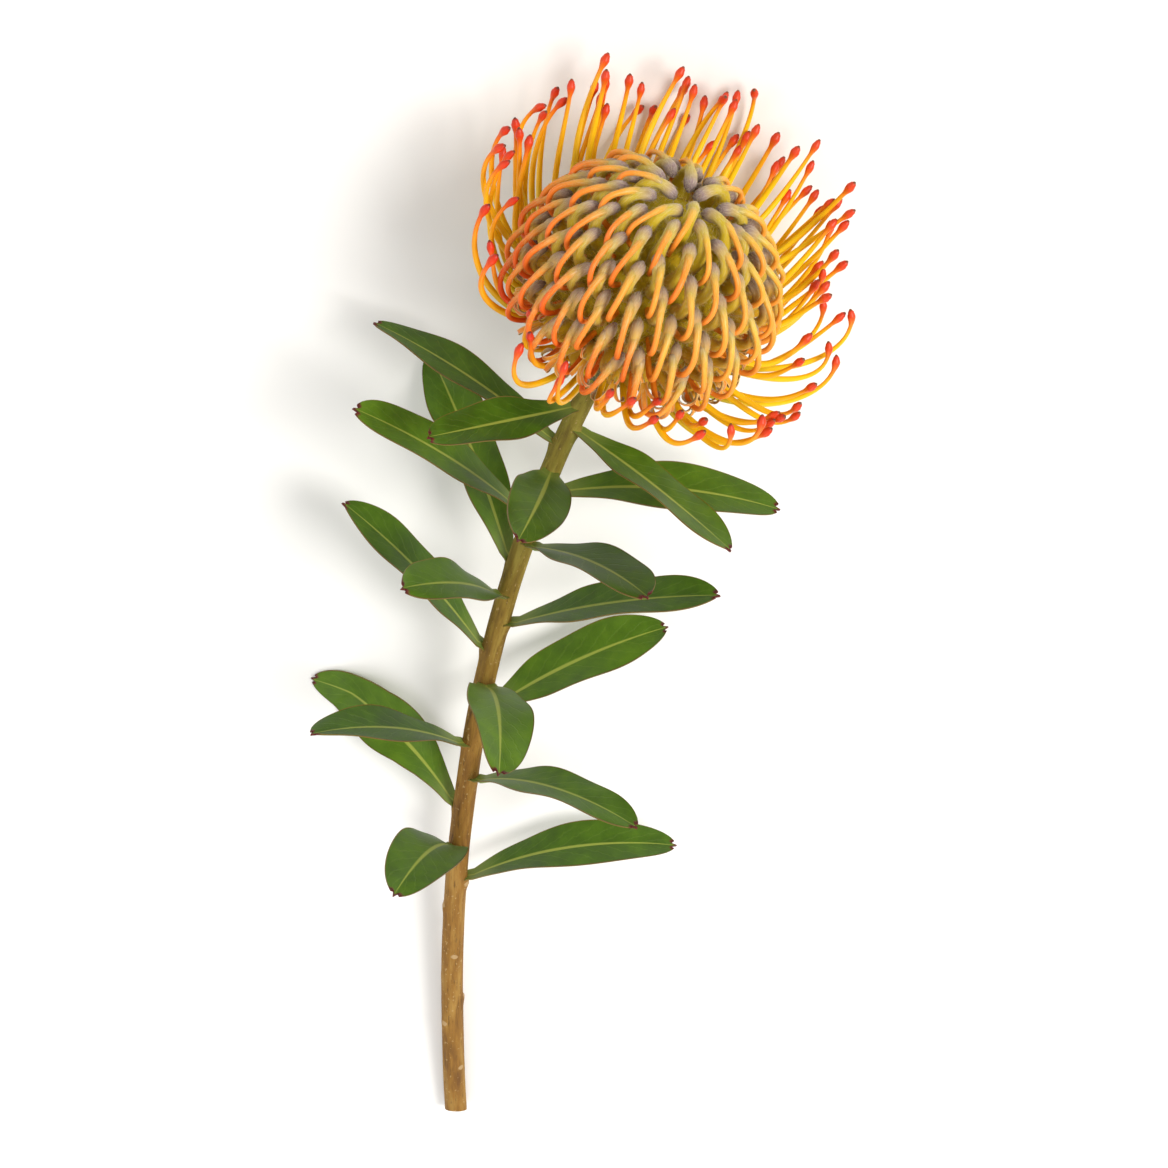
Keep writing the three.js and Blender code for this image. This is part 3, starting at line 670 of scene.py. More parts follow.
def add_sheath(shell, floret):
    path = sheath_path(floret)
    shares = np.linspace(0, 1, len(path))
    rings, grain = rings_round(path, profile_of(shares, SHEATH_RADII), floret.across, STYLE_SIDES)
    along = lerp(0.05, 0.42, shares)[:, None]
    shell.skin(placed(rings, 0), grain, draw(floret.index, "sheath tint"), along=along, low=1.0)


def ribbon_path(size, unrolled):
    """A ribbon's coil in its own plane: distance from the split, and height over the dome."""
    turn = np.linspace(168, -150 + unrolled, 18) * DEGREE
    coil = round_z(np.linspace(3.1, 1.35, 18), turn, 0)[:, :2] + (4.6, 4.4)
    stops = np.vstack([[0.9, 0.2], [1.0, 2.4 * size], coil * size])
    return curve_through(stops, RIBBON_POINTS)


def add_ribbons(shell, floret):
    """The four parts of the perianth, rolled back from the style. The one towards the pole is small."""
    base = floret.dome_point(1.2, 0.0)
    for k, fan in enumerate(RIBBON_FANS):
        number = floret.index * 4 + k
        size = (1 + spread(number, "ribbon size", 0.16)) * (SMALL_RIBBON if k == 3 else 1)
        flat = ribbon_path(size, spread(number, "ribbon coil", 50))
        flat = flat[: RIBBON_POINTS - 2 - int(draw(number, "ribbon end") * 4)]
        turn = (fan + spread(number, "ribbon turn", 14)) * DEGREE
        ahead, level = spun(floret.along, floret.across, turn)
        path = base + ahead * flat[:, :1] + floret.outward * flat[:, 1:]
        shares = np.linspace(0, 1, len(path))
        face = np.cross(directions_of(path), level)[:, None]
        half = RIBBON_WIDTH / 2 * size * profile_of(shares, RIBBON_OUTLINE)
        columns = np.linspace(-1, 1, 5)
        middle = strip(path, level, half, columns, face * 0.5)
        thick = RIBBON_THICKNESS * lerp(1, 1.6, smoothstep(shares, 0.75, 0.9))[:, None]
        out = face * (thick * np.sqrt(1 - 0.75 * columns**2) / 2)[..., None]
        tint = draw(number, "ribbon tint")
        shell.blade(
            placed(middle + out, 0.1),
            placed(middle - out, 0.0),
            along=shares[:, None],
            edge=np.abs(columns),
            face=np.array([1.0, 0.0])[:, None, None],
            tint=tint,
            grain=middle + (tint * TINT_SHIFT, 0, 0),
        )


def add_tube_hairs(hairs, floret):
    """Short wool on the tubes, and on a closed floret's style where it leaves the limb."""
    chance = hair_draws("tube", floret.index)
    # Each run has its path, start and end share, radius, how much the hairs lie down, and how many there are
    runs = [(sheath_path(floret), 0.3, 1.0, CLAW_RADIUS * 0.8, 0.5, 80)]
    if not floret.open:
        runs = [
            (perianth_path(floret)[8:22], 0.0, 1.0, CLAW_RADIUS * 0.85, 0.5, 130),
            (loop_path(floret), 0.06, 0.3, None, 2.2, 80),
        ]
    for path, start, end, radius, lying, count in runs:
        share = chance.uniform(start, end, count)
        ahead = unit(at_shares(path, np.minimum(share + 0.03, 1)) - at_shares(path, share - 0.03))
        outward = chance.normal(0, 1, (count, 3))
        outward = unit(outward - ahead * np.sum(outward * ahead, 1, keepdims=True))
        out = loop_radii(floret, share)[:, None] * 0.95 if radius is None else radius
        feet = at_shares(path, share) + outward * out
        lengths, tint = chance.uniform(0.7, 1.5, count), chance.uniform(0, 1, count)
        add_hairs(hairs, feet, outward + ahead * lying, lengths, tint, clearance=0.2)


# The receptacle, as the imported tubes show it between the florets

# Radius and height round the core, from the neck's side round the dome and down into the pit
CORE_UNDERSIDE = [(0.5, 2.0), (8.5, 3.2), (15, 7), (20, 9.5), (25.5, 15)]
CORE_POLARS = np.array([86, 68, 48, 28, 17]) * DEGREE
CORE_DOME = CORE_RADIUS * sphere_point(CORE_POLARS, 0)[:, [0, 2]] + (0, DOME_CENTRE)
PIT_STOPS = [(1, 0.4), (0.55, 0.85), (0.4 / PIT_RADIUS, 1)]
CORE_PIT = (0, DOME_CENTRE + CORE_RADIUS) + np.array(PIT_STOPS) * (PIT_RADIUS, -PIT_DEPTH)
CORE_PROFILE = curve_through([*CORE_UNDERSIDE, *CORE_DOME, *CORE_PIT], 70)
# Rows of the profile with wool on them, how many hairs, and how far these splay from the axis
CORE_WOOL = ((slice(-26, -1), 1300, -0.35), (slice(-52, -26), 7500, 1.3))


def receptacle_core():
    shell = Shell()
    radius, height = CORE_PROFILE[:, :1], CORE_PROFILE[:, 1:]
    around = circle(CORE_SIDES)
    shares = np.linspace(0, 1, len(radius))[:, None]
    ribs = 0.35 * np.sin(around * 34 + shares * 30) * smoothstep(radius, 3, 12)
    points = round_z(radius + ribs, around, height)[:, ::-1]
    pit = smoothstep(height, 40, 44) * (1 - smoothstep(radius, 5, 13))
    shell.tube(placed(points, 0), pit=pit, under=1 - smoothstep(height, 4, 14), grain=points)
    return shell


def add_core_wool(hairs):
    """Short wool that lines the pit and covers the core between the florets."""
    chance = hair_draws("core")
    for rows, count, splay in CORE_WOOL:
        profile = CORE_PROFILE[rows]
        row = chance.integers(0, len(profile) - 1, count)
        radius, height = lerp(profile[row], profile[row + 1], chance.uniform(0, 1, (count, 1))).T
        around = chance.uniform(0, 2 * math.pi, count)
        directions = round_z(splay, around, 1.0) + chance.normal(0, 0.4, (count, 3))
        lengths, tint = chance.uniform(1.2, 2.8, count), chance.uniform(0, 1, count)
        add_hairs(hairs, round_z(radius, around, height), directions, lengths, tint, width=0.07)


# The involucre, a cup of overlapping hairy bracts

CUP = [(0.5, -8), (4.2, -8), (7.6, -5.2), (10.4, -1.6), (10.6, 0.9), (9, 1.4), (0.5, 1.4)]
# Each row's number of bracts, the radius and height of their middles, and their size
BRACT_ROWS = [(8, 5.4, -5.6, 4.4), (11, 7.3, -4.3, 5.0), (13, 9.0, -2.9, 5.6), (16, 10.5, -1.5, 6.0)]
# A bract's midline: how far it stands out, and its height as a share of the size
BRACT_MIDLINE = [(-1.9, -1), (-0.1, -0.55), (0.8, -0.1), (1.7, 0.42)]
BRACT_OUTLINE = [(0, 0.75), (0.42, 1.0), (0.75, 0.62), (0.93, 0.2), (1, 0.05)]
BRACT_HALF_WIDTH = 0.43


def involucre_cup(shell):
    profile = curve_through(CUP, CUP_SIDES)
    shares = np.linspace(0, 1, CUP_SIDES)[:, None]
    points = round_z(profile[:, :1], circle(CUP_SIDES), profile[:, 1:])[:, ::-1]
    shell.tube(placed(points), along=0.2 * shares, edge=0.0, tint=0.5, grain=points)


def add_bract(shell, hairs, index, around, radius, height, size):
    outward, across = round_z(1, around, 0), round_z(1, around + QUARTER_TURN, 0)
    stops = np.array(BRACT_MIDLINE) * (1, size) + (radius, height)
    stops[-1, 0] += spread(index, "bract lift", 0.5)
    midline = curve_through(stops, BRACT_POINTS)
    shares = np.linspace(0, 1, BRACT_POINTS)
    path = outward * midline[:, :1] + Z_AXIS * midline[:, 1:]
    along = directions_of(path)
    face = np.cross(across, along)
    face = (face * np.sign(face @ outward)[:, None])[:, None]
    columns = np.linspace(-1, 1, BRACT_COLUMNS)
    half = size * BRACT_HALF_WIDTH * profile_of(shares, BRACT_OUTLINE)
    middle = strip(path, across, half, columns, outward * -0.16)
    top = middle + face * (BRACT_THICKNESS * (1 - 0.7 * np.abs(columns)))[:, None]
    shell.blade(
        placed(top)[:, ::-1],
        placed(middle - face * 0.12)[:, ::-1],
        along=shares[:, None],
        edge=np.abs(columns),
        tint=draw(index, "bract tint"),
        grain=middle,
    )
    add_bract_hairs(hairs, index, top, along, outward, across * columns[:, None])


def add_bract_hairs(hairs, index, top, along, outward, outside):
    """Hairs all over the bract, half of them along its edges."""
    chance = hair_draws("bract", index)
    row = chance.integers(1, BRACT_POINTS, BRACT_HAIRS)
    on_edge = chance.uniform(0, 1, BRACT_HAIRS) < 0.5
    edge_column = chance.choice([0, BRACT_COLUMNS - 1], BRACT_HAIRS)
    column = np.where(on_edge, edge_column, chance.integers(0, BRACT_COLUMNS, BRACT_HAIRS))
    loose = chance.normal(0, 0.2, (BRACT_HAIRS, 3))
    directions = along[row] * 0.9 + outward * 0.35 + outside[column] * 0.7 + loose
    lengths, tint = chance.uniform(0.7, 1.5, BRACT_HAIRS), chance.uniform(0, 1, BRACT_HAIRS)
    add_hairs(hairs, top[row, column], directions, lengths, tint)


def involucre():
    shell, hairs = Shell(), Shell()
    involucre_cup(shell)
    index = 0
    for row, (count, radius, height, size) in enumerate(BRACT_ROWS):
        for step in range(count):
            around = 2 * math.pi * (step + 0.5 * (row % 2)) / count + spread(index, "bract turn", 0.08)
            own_size = size * (1 + spread(index, "bract size", 0.1))
            add_bract(shell, hairs, index, around, radius, height, own_size)
            index += 1
    return shell, hairs


# The stem

STEM_TOP = NECK - HEAD_AXIS * SEAT_GAP
STEM_SPAN = (NECK[1] - CUT_END[1]) / 3
STEM_CONTROLS = [CUT_END, CUT_END + CUT_SLOPE * STEM_SPAN, STEM_TOP - HEAD_AXIS * STEM_SPAN, STEM_TOP]
STEM_TIMES = np.linspace(0, 1, 201)
STEM_REACH = reach_along(bezier(STEM_CONTROLS, STEM_TIMES))
STEM_LENGTH = STEM_REACH[-1]
# The cut face closes the end in rings, as shares of the way from the pith out to the bark
CUT_RINGS = np.array([0.06, 0.3, 0.6, 0.86, 0.97])


def bump(distance, width):
    """1 at no distance, falling away smoothly on both sides."""
    return np.exp(-((distance / width) ** 2))


def stem_radius(share):
    return lerp(CUT_RADIUS, NECK_RADIUS, share) + smoothstep(share, 0.985, 1) * 0.9


def stem_axes(share):
    """The stem's point and its own axes at a share of its length: along it, up and to the right."""
    t = np.interp(share * STEM_LENGTH, STEM_REACH, STEM_TIMES)
    along = unit(bezier_slope(STEM_CONTROLS, t))
    up = unit(Z_AXIS - along * along[..., 2:])
    return bezier(STEM_CONTROLS, t), along, up, np.cross(along, up)


def bumps_on_stem():
    """Scars and leaf cushions: share of the stem's length, angle round it, and 1 where there is a leaf."""
    scars = [(FIRST_SCAR + SCAR_PITCH * k, k * GOLDEN_ANGLE + SCAR_TURN, 0.0) for k in range(SCARS)]
    plans = [leaf_plan(index) for index in range(LEAF_COUNT)]
    return scars + [(1 - plan["distance"] / STEM_LENGTH, plan["around"], 1.0) for plan in plans]


def stem_shell():
    share = np.linspace(0, 1, STEM_RINGS)
    angle = circle(STEM_SIDES)
    point, _, up, right = stem_axes(share)
    twist = 3 * angle + share[:, None] * 21, 7 * angle - share[:, None] * 34
    radius = stem_radius(share)[:, None] + 0.07 * np.sin(twist[0]) + 0.05 * np.sin(twist[1])
    scar = np.zeros_like(radius)
    for at, around, leafy in bumps_on_stem():
        turn = np.angle(np.exp(1j * (angle - around))) * stem_radius(at)
        ahead = (share - at)[:, None] * STEM_LENGTH
        ledge = bump(ahead, np.where(ahead < 0, 3.4, 0.7))
        radius += (0.55 + 0.25 * leafy) * bump(turn, 1.9) * ledge
        scar = np.maximum(scar, bump(turn, 1.35) * bump(ahead - 0.5, 0.85) * (1 - leafy))
    around_point = np.cos(angle)[:, None] * up[:, None] + np.sin(angle)[:, None] * right[:, None]
    rings = point[:, None] + around_point * radius[..., None]
    # The cut slants: the end ring's upper side lies further along the stem
    slant = np.exp(-share * STEM_LENGTH / 6)[:, None]
    rings[..., 1] += (rings[..., 2] - CUT_END[2]) / CUT_RADIUS * (CUT_SLANT / 2) * slant
    rings[..., 2] = np.maximum(rings[..., 2], 0)
    faces = lerp(rings[0].mean(0), rings[:1], CUT_RINGS[:, None, None])
    no_faces = np.zeros(len(faces))
    length = np.concatenate([no_faces, share])[:, None]
    shell = Shell()
    shell.tube(
        np.concatenate([faces, rings])[:, ::-1],
        along=length,
        depth=np.concatenate([1 - CUT_RINGS, 0 * share])[:, None],
        cut=np.concatenate([no_faces + 1, 0 * share])[:, None],
        scar=np.pad(scar, ((len(faces), 0), (0, 0)))[:, ::-1],
        grain=round_z(3.5, angle, length * STEM_LENGTH)[:, ::-1],
    )
    return shell


# Leaves


def half_width(share):
    """Half the blade's width at a share of its length, for a width of 1."""
    rising = lerp(0.13, 0.5, np.sin(np.minimum(share / WIDEST_SHARE, 1) * QUARTER_TURN) ** 1.1)
    past = np.clip((share - WIDEST_SHARE) / (1 - WIDEST_SHARE), 0, 1)
    return np.where(share < WIDEST_SHARE, rising, 0.5 * (1 - 0.96 * past * past) ** 0.55)


def leaf_plan(index):
    """A leaf's sizes and angles. It keeps clear of the surface and the bloom, and young ones are smaller."""
    distance = FIRST_LEAF + index * LEAF_PITCH + LEAF_PITCH_GROWTH * index * (index - 1) * 0.5
    young = min(index / 4, 1)
    length = LEAF_LENGTH * (1 + spread(index, "leaf length", 0.1)) * lerp(0.74, 1, young)
    turn = index * GOLDEN_ANGLE + FIRST_LEAF_TURN
    from_below = math.atan2(math.sin(turn), math.cos(turn))
    kept = UNDER_CLEAR + (math.pi - UNDER_CLEAR) * (abs(from_below) / math.pi)
    headroom = np.clip((distance - FIRST_LEAF) / length, 0, 0.95)
    spread_angle = max(LEAF_SPREAD + spread(index, "leaf spread", 6 * DEGREE), math.acos(headroom))
    room = max(0, math.pi * 0.52 - spread_angle)
    return {
        "distance": distance,
        "length": length,
        "width": LEAF_WIDTH * (1 + spread(index, "leaf width", 0.1)) * lerp(0.8, 1, young),
        "around": math.pi + math.copysign(1, from_below) * kept,
        "spread_angle": spread_angle,
        "recurve": min(LEAF_RECURVE * (1 + spread(index, "leaf recurve", 0.5)), room),
        "drift": spread(index, "leaf drift", LEAF_DRIFT),
        "roll": spread(index, "leaf roll", LEAF_ROLL),
    }


def leaf_spine(plan):
    """The midrib leaves the stem at the spread angle, bends back, and lies down on reaching the surface."""
    share = 1 - plan["distance"] / STEM_LENGTH
    point, along_stem, up, right = stem_axes(share)
    outward = spun(up, right, plan["around"])[0]
    side = np.cross(along_stem, outward)
    step = plan["length"] / LEAF_ROWS
    spine = [point + outward * (stem_radius(share) + SEAT_GAP)]
    for row in range(1, LEAF_ROWS + 1):
        angle = plan["spread_angle"] + plan["recurve"] * ((row - 0.5) / LEAF_ROWS)
        along = spun(along_stem, outward, angle)[0]
        reached = spine[-1] + unit(along + side * plan["drift"] * (row / LEAF_ROWS)) * step
        reached[2] = max(reached[2], -LEAF_SINK)
        reached = spine[-1] + unit(reached - spine[-1]) * step
        reached[2] = max(reached[2], -LEAF_SINK)
        spine.append(reached)
    return np.array(spine), side, outward


def blade_side(spine, side, row, roll):
    """The direction across the blade at a row, which rolls on the way out and is level near the surface."""
    along = unit(spine[min(row + 1, LEAF_ROWS)] - spine[max(row - 1, 0)])
    level = unit(np.array([-along[1], along[0], 0]))
    level = level if level @ side >= 0 else -level
    near_surface = 1 - smoothstep(spine[row][2], 3, 15)
    across = lerp(turned(side, along, roll * (row / LEAF_ROWS)), level, near_surface)
    return unit(across - along * (across @ along))


def tooth_reach(columns):
    """How far the tip's three small callus teeth reach, as a share of the leaf's length."""
    tooth = 0.5 + 0.5 * np.cos(2 * math.pi * columns)
    return lerp(-0.015, 0.01 - 0.014 * np.abs(columns), tooth)


def leaf_flutter(index, shares, columns):
    """The waves of the leaf's edges, which start a little way out from the stem."""
    turn = shares * (9 + 5 * draw(index, "wave pitch")) + draw(index, "wave start") * 6
    height = (0.55 + 0.5 * draw(index, "wave height")) * np.sign(columns) * np.abs(columns) ** 2.5
    return np.sin(turn) * height * smoothstep(shares, 0.1, 0.35)


def leaf_shell(index):
    plan = leaf_plan(index)
    spine, side, outward = leaf_spine(plan)
    sides = np.array([blade_side(spine, side, row, plan["roll"]) for row in range(LEAF_ROWS + 1)])
    path = curve_through(spine, BLADE_RINGS)
    shares = np.linspace(0, 1, BLADE_RINGS)[:, None]
    along = directions_of(path)
    at = shares[:, 0] * LEAF_ROWS
    across = np.stack([np.interp(at, np.arange(LEAF_ROWS + 1), column) for column in sides.T], 1)
    across = unit(across - along * np.sum(across * along, 1, keepdims=True))
    face = np.cross(along, across)
    even = np.linspace(-1, 1, BLADE_COLUMNS)
    columns = lerp(np.sin(even * QUARTER_TURN), even, 0.55)
    wide = columns * half_width(shares) * plan["width"]
    lift = np.sqrt(wide**2 + 0.6) * FOLD + leaf_flutter(index, shares, columns)
    rib = bump(wide, 0.75)
    blade = lerp(BLADE_THICKNESS, EDGE_THICKNESS, np.abs(columns) ** 3)
    thickness = blade + rib * (lerp(RIB_THICKNESS, 0.95, shares) - BLADE_THICKNESS)
    ahead = tooth_reach(columns) * plan["length"] * smoothstep(shares, 0.9, 1)
    moves = ((across, wide), (face, lift - thickness), (along, ahead))
    bottom = path[:, None] + sum(axis[:, None] * amount[..., None] for axis, amount in moves)
    rise = thickness - 0.16 * rib * smoothstep(shares, 0.05, 0.2)
    top = bottom + face[:, None] * rise[..., None]
    base = shares[:, 0] < 0.02
    bottom[base] -= outward * LEAF_FOOT_SINK
    top[base] -= outward * LEAF_FOOT_SINK
    bottom[..., 2] = np.maximum(bottom[..., 2], 0)
    top[..., 2] = np.maximum(top[..., 2], bottom[..., 2] + rise * np.maximum(face[:, 2:], 0))
    tint = draw(index, "leaf tint")
    grain = np.stack([wide, shares * plan["length"] + 0 * wide, 0 * wide], -1)
    shell = Shell()
    shell.blade(
        top,
        bottom,
        across=columns,
        along=shares,
        upper=np.array([1.0, 0.0])[:, None, None],
        tint=tint,
        grain=np.stack([grain, grain + (0, 0, 40)]) + (0, tint * 300, 0),
    )
    return shell


# Materials


def colour(code):
    """A colour from its six-digit code, as Blender's linear values."""
    parts = [int(code[k : k + 2], 16) / 255 for k in (0, 2, 4)]
    linear = [c / 12.92 if c <= 0.04045 else ((c + 0.055) / 1.055) ** 2.4 for c in parts]
    return (*linear, 1.0)


class Paint:
    """A short way to wire one procedural material."""

    def __init__(self, name, roughness, specular=0.5, subsurface=0.0, sheen=0.0):
        self.material = bpy.data.materials.new(name)
        self.material.use_nodes = True
        self.tree = self.material.node_tree
        self.shader = self.tree.nodes["Principled BSDF"]
        settings = {
            "Roughness": roughness,
            "Specular IOR Level": specular,
            "Subsurface Weight": subsurface,
            "Subsurface Scale": 0.0012,
            "Subsurface Radius": (1.0, 0.55, 0.25),
            "Sheen Weight": sheen,
            "Sheen Roughness": 0.45,
        }
        for key, value in settings.items():
            self.shader.inputs[key].default_value = value

    def link(self, source, target):
        """Feeds an input from a node's output, a number of the mesh by its name, or a plain value."""
        if isinstance(source, str):
            source = self.node("Attribute", "Fac", {}, attribute_name=source)
        if isinstance(source, (int, float, tuple)):
            target.default_value = source
        else:
            self.tree.links.new(source, target)

    def node(self, kind, output, inputs, **settings):
        """The named output of a new node, with its settings and inputs."""
        node = self.tree.nodes.new("ShaderNode" + kind)
        for key, value in settings.items():
            setattr(node, key, value)
        for key, value in inputs.items():
            self.link(value, node.inputs[key])
        return node.outputs[output]

    def noise(self, across, along, detail=3, roughness=0.55, place=None):
        """Noise with scales across and along the piece, over its own millimetres or the place given."""
        if place is None:
            place = self.node("Attribute", "Vector", {}, attribute_name="grain")
        vector = self.node("Mapping", "Vector", {"Vector": place, "Scale": (across, across, along)})
        inputs = {"Vector": vector, "Scale": 1.0, "Detail": detail, "Roughness": roughness}
        return self.node("TexNoise", "Fac", inputs)

    def maths(self, operation, first, second=0.0):
        return self.node("Math", 0, {0: first, 1: second}, operation=operation)

    def times(self, first, second):
        return self.maths("MULTIPLY", first, second)

    def without(self, share):
        """What a share leaves over."""
        return self.maths("SUBTRACT", 1.0, share)

    def step(self, value, low, high):
        """0 below low, 1 above high and eased between."""
        inputs = {"Value": value, "From Min": low, "From Max": high}
        return self.node("MapRange", "Result", inputs, interpolation_type="SMOOTHSTEP")

    def scaled(self, value, low, high):
        """A value from 0 to 1 spread over low to high."""
        return self.node("MapRange", "Result", {"Value": value, "To Min": low, "To Max": high})

    def ramp(self, value, *stops):
        node = self.tree.nodes.new("ShaderNodeValToRGB")
        elements = node.color_ramp.elements
        while len(elements) < len(stops):
            elements.new(0.5)
        for element, (place, code) in zip(elements, stops):
            element.position = place
            element.color = colour(code)
        self.link(value, node.inputs["Fac"])
        return node.outputs["Color"]

    def mix(self, first, second, share):
        return self.node("Mix", "Result", {"Factor": share, "A": first, "B": second}, data_type="RGBA")

    def between(self, value, first, second, share):
        """A ramp over the value that turns into a second one where the share is high."""
        return self.mix(self.ramp(value, *first), self.ramp(value, *second), share)

    def stained(self, base, *stains):
        """The base with colours over it: each one's code, where it goes and how strong it is there."""
        for code, share, strength in stains:
            base = self.mix(base, colour(code), self.times(share, strength))
        return base

    def wear(self, base, roughness=None, height=None, strength=0.3, distance=0.0002):
        """Sets the colour, and where given the roughness and the relief."""
        self.link(base, self.shader.inputs["Base Color"])
        if roughness is not None:
            self.link(roughness, self.shader.inputs["Roughness"])
        if height is not None:
            inputs = {"Strength": strength, "Distance": distance, "Height": height}
            self.link(self.node("Bump", "Normal", inputs), self.shader.inputs["Normal"])
        return self.material


# Scales of a noise across and along a piece that draw it out into silky fibres
SILK = (7.0, 0.55)


def style_paint(name, yellow_stops, orange_stops, silky_foot=0.0):
    """Smooth waxy skin, yellow to orange along the style, with fine streaks, and silk on its foot."""
    paint = Paint(name, 0.42, specular=0.32, subsurface=0.12)
    base = paint.between("along", yellow_stops, orange_stops, "warm")
    streaks = paint.noise(2.2, 0.25, detail=2)
    lit = {0: base, "Scale": paint.scaled(streaks, 0.82, 1.14)}
    skin = paint.node("VectorMath", 0, lit, operation="SCALE")
    if silky_foot:
        foot = paint.without(paint.step("along", silky_foot * 0.6, silky_foot))
        silk = paint.times(paint.step(paint.noise(*SILK), 0.46, 0.66), foot)
        skin = paint.stained(skin, ("E8DCB0", silk, 0.25))
    return paint.wear(skin, paint.scaled(streaks, 0.3, 0.48), streaks, 0.25, 0.00012)


def perianth_paint():
    """Yellow-green woolly tube that turns grey-mauve and silky on the limb."""
    paint = Paint("perianth_skin", 0.6, specular=0.22, subsurface=0.1, sheen=0.2)
    base = paint.between("along", PERIANTH_HIGH, PERIANTH_LOW, "low")
    fibres = paint.noise(*SILK)
    silk = paint.times(paint.step(fibres, 0.46, 0.66), paint.step("along", 0.15, 0.6))
    base = paint.mix(base, colour("E4DAB4"), paint.times(silk, paint.scaled("low", 0.4, 0.18)))
    patches = paint.noise(0.5, 0.3, detail=2)
    base = paint.stained(base, ("8A7010", paint.step(patches, 0.5, 0.75), 0.22))
    return paint.wear(base, paint.scaled(fibres, 0.5, 0.72), fibres, 0.45, 0.0003)


def ribbon_paint():
    """Deep orange inside, olive-yellow outside, with cream fuzzy margins."""
    paint = Paint("ribbon_skin", 0.55, specular=0.3, subsurface=0.12, sheen=0.3)
    base = paint.between("along", RIBBON_OUTSIDE, RIBBON_INSIDE, "face")
    fibres = paint.noise(3.0, 3.0)
    ragged = paint.maths("ADD", "edge", paint.scaled(fibres, -0.25, 0.25))
    base = paint.stained(
        base,
        ("EEDC9C", paint.step(ragged, 0.55, 0.95), 0.6),
        ("C8702A", paint.step("tint", 0.6, 1), 0.3),
    )
    return paint.wear(base, None, fibres, 0.4, 0.0002)


def core_paint():
    """The shaded mass of tubes, olive and brown, yellow-green in the pit and paler beneath."""
    paint = Paint("core_skin", 0.8, specular=0.2)
    blotches = paint.noise(0.45, 0.45, detail=4)
    base = paint.ramp(blotches, (0.25, "84700E"), (0.5, "AA9012"), (0.75, "C6A618"))
    green = paint.ramp(blotches, (0.3, "A08C10"), (0.6, "C4A814"), (0.8, "DAB81C"))
    base = paint.mix(base, green, "pit")
    pale = paint.ramp(blotches, (0.3, "7E7A3A"), (0.6, "A8A05A"), (0.8, "C4B878"))
    base = paint.mix(base, pale, "under")
    return paint.wear(base, None, paint.noise(2.5, 2.5), 0.6, 0.0006)


def hair_paint(name, root, tip, other_tip):
    """Silky hairs, a little different from one to the next."""
    paint = Paint(name, 0.5, specular=0.35, sheen=0.3)
    return paint.wear(paint.between("along", [(0, root), (1, tip)], [(0, root), (1, other_tip)], "tint"))


def bract_paint():
    """Olive-brown scales with pale wool along their edges."""
    paint = Paint("bract_skin", 0.75, specular=0.25, sheen=0.3)
    base = paint.ramp("along", (0, "4E5230"), (0.5, "5C5E34"), (0.8, "5E4E30"), (1, "4A2E22"))
    fibres = paint.noise(2.5, 2.5, detail=4)
    wool = paint.times(paint.step("edge", 0.4, 1), paint.step(fibres, 0.35, 0.6))
    base = paint.stained(base, ("A9A48C", wool, 0.7), ("3C3A22", paint.step(fibres, 0.55, 0.75), 0.4))
    return paint.wear(base, None, fibres, 0.6, 0.0003)


def bark_paint():
    """Golden-brown bark with fine cracks and pores, greener towards the bloom, and the pale cut wood."""
    paint = Paint("stem_bark", 0.72, specular=0.25)
    broad = paint.noise(0.35, 0.05, detail=4)
    cracks = paint.noise(1.5, 0.16, detail=5, roughness=0.65)
    brown = paint.ramp(broad, (0.3, "6E4A20"), (0.5, "8E6529"), (0.72, "A88240"))
    green = paint.ramp(broad, (0.3, "6A5A26"), (0.5, "84762E"), (0.72, "9A9040"))
    base = paint.mix(brown, green, paint.step("along", 0.45, 0.95))
    pores = paint.noise(0.9, 0.7, detail=1)
    base = paint.stained(
        base,
        ("4A3218", paint.step(cracks, 0.55, 0.68), 0.6),
        ("BFA06A", paint.step(pores, 0.66, 0.74), 0.55),
        ("B89A70", paint.step("scar", 0.3, 0.6), 0.8),
    )
    wood = paint.ramp("depth", *CUT_WOOD)
    rings = paint.noise(1.2, 1.2, detail=2)
    wood = paint.stained(wood, ("C8B07A", paint.step(rings, 0.5, 0.7), 0.35))
    base = paint.mix(base, wood, paint.step("cut", 0.1, 0.9))
    return paint.wear(base, None, cracks, 0.8, 0.0006)


def leaf_veins(paint, from_rib):
    """Side veins that leave the midrib at a slant and bend towards the tip."""
    curve = paint.times(paint.maths("POWER", from_rib, 0.8), 15.0)
    slant = paint.maths("SUBTRACT", paint.times("along", 62.0), curve)
    bent = paint.maths("ADD", slant, paint.scaled(paint.noise(0.3, 1.0, detail=2), -2.2, 2.2))
    inside = paint.without(paint.step(from_rib, 0.6, 0.95))
    return paint.times(paint.step(paint.maths("SINE", bent), 0.86, 0.99), inside)


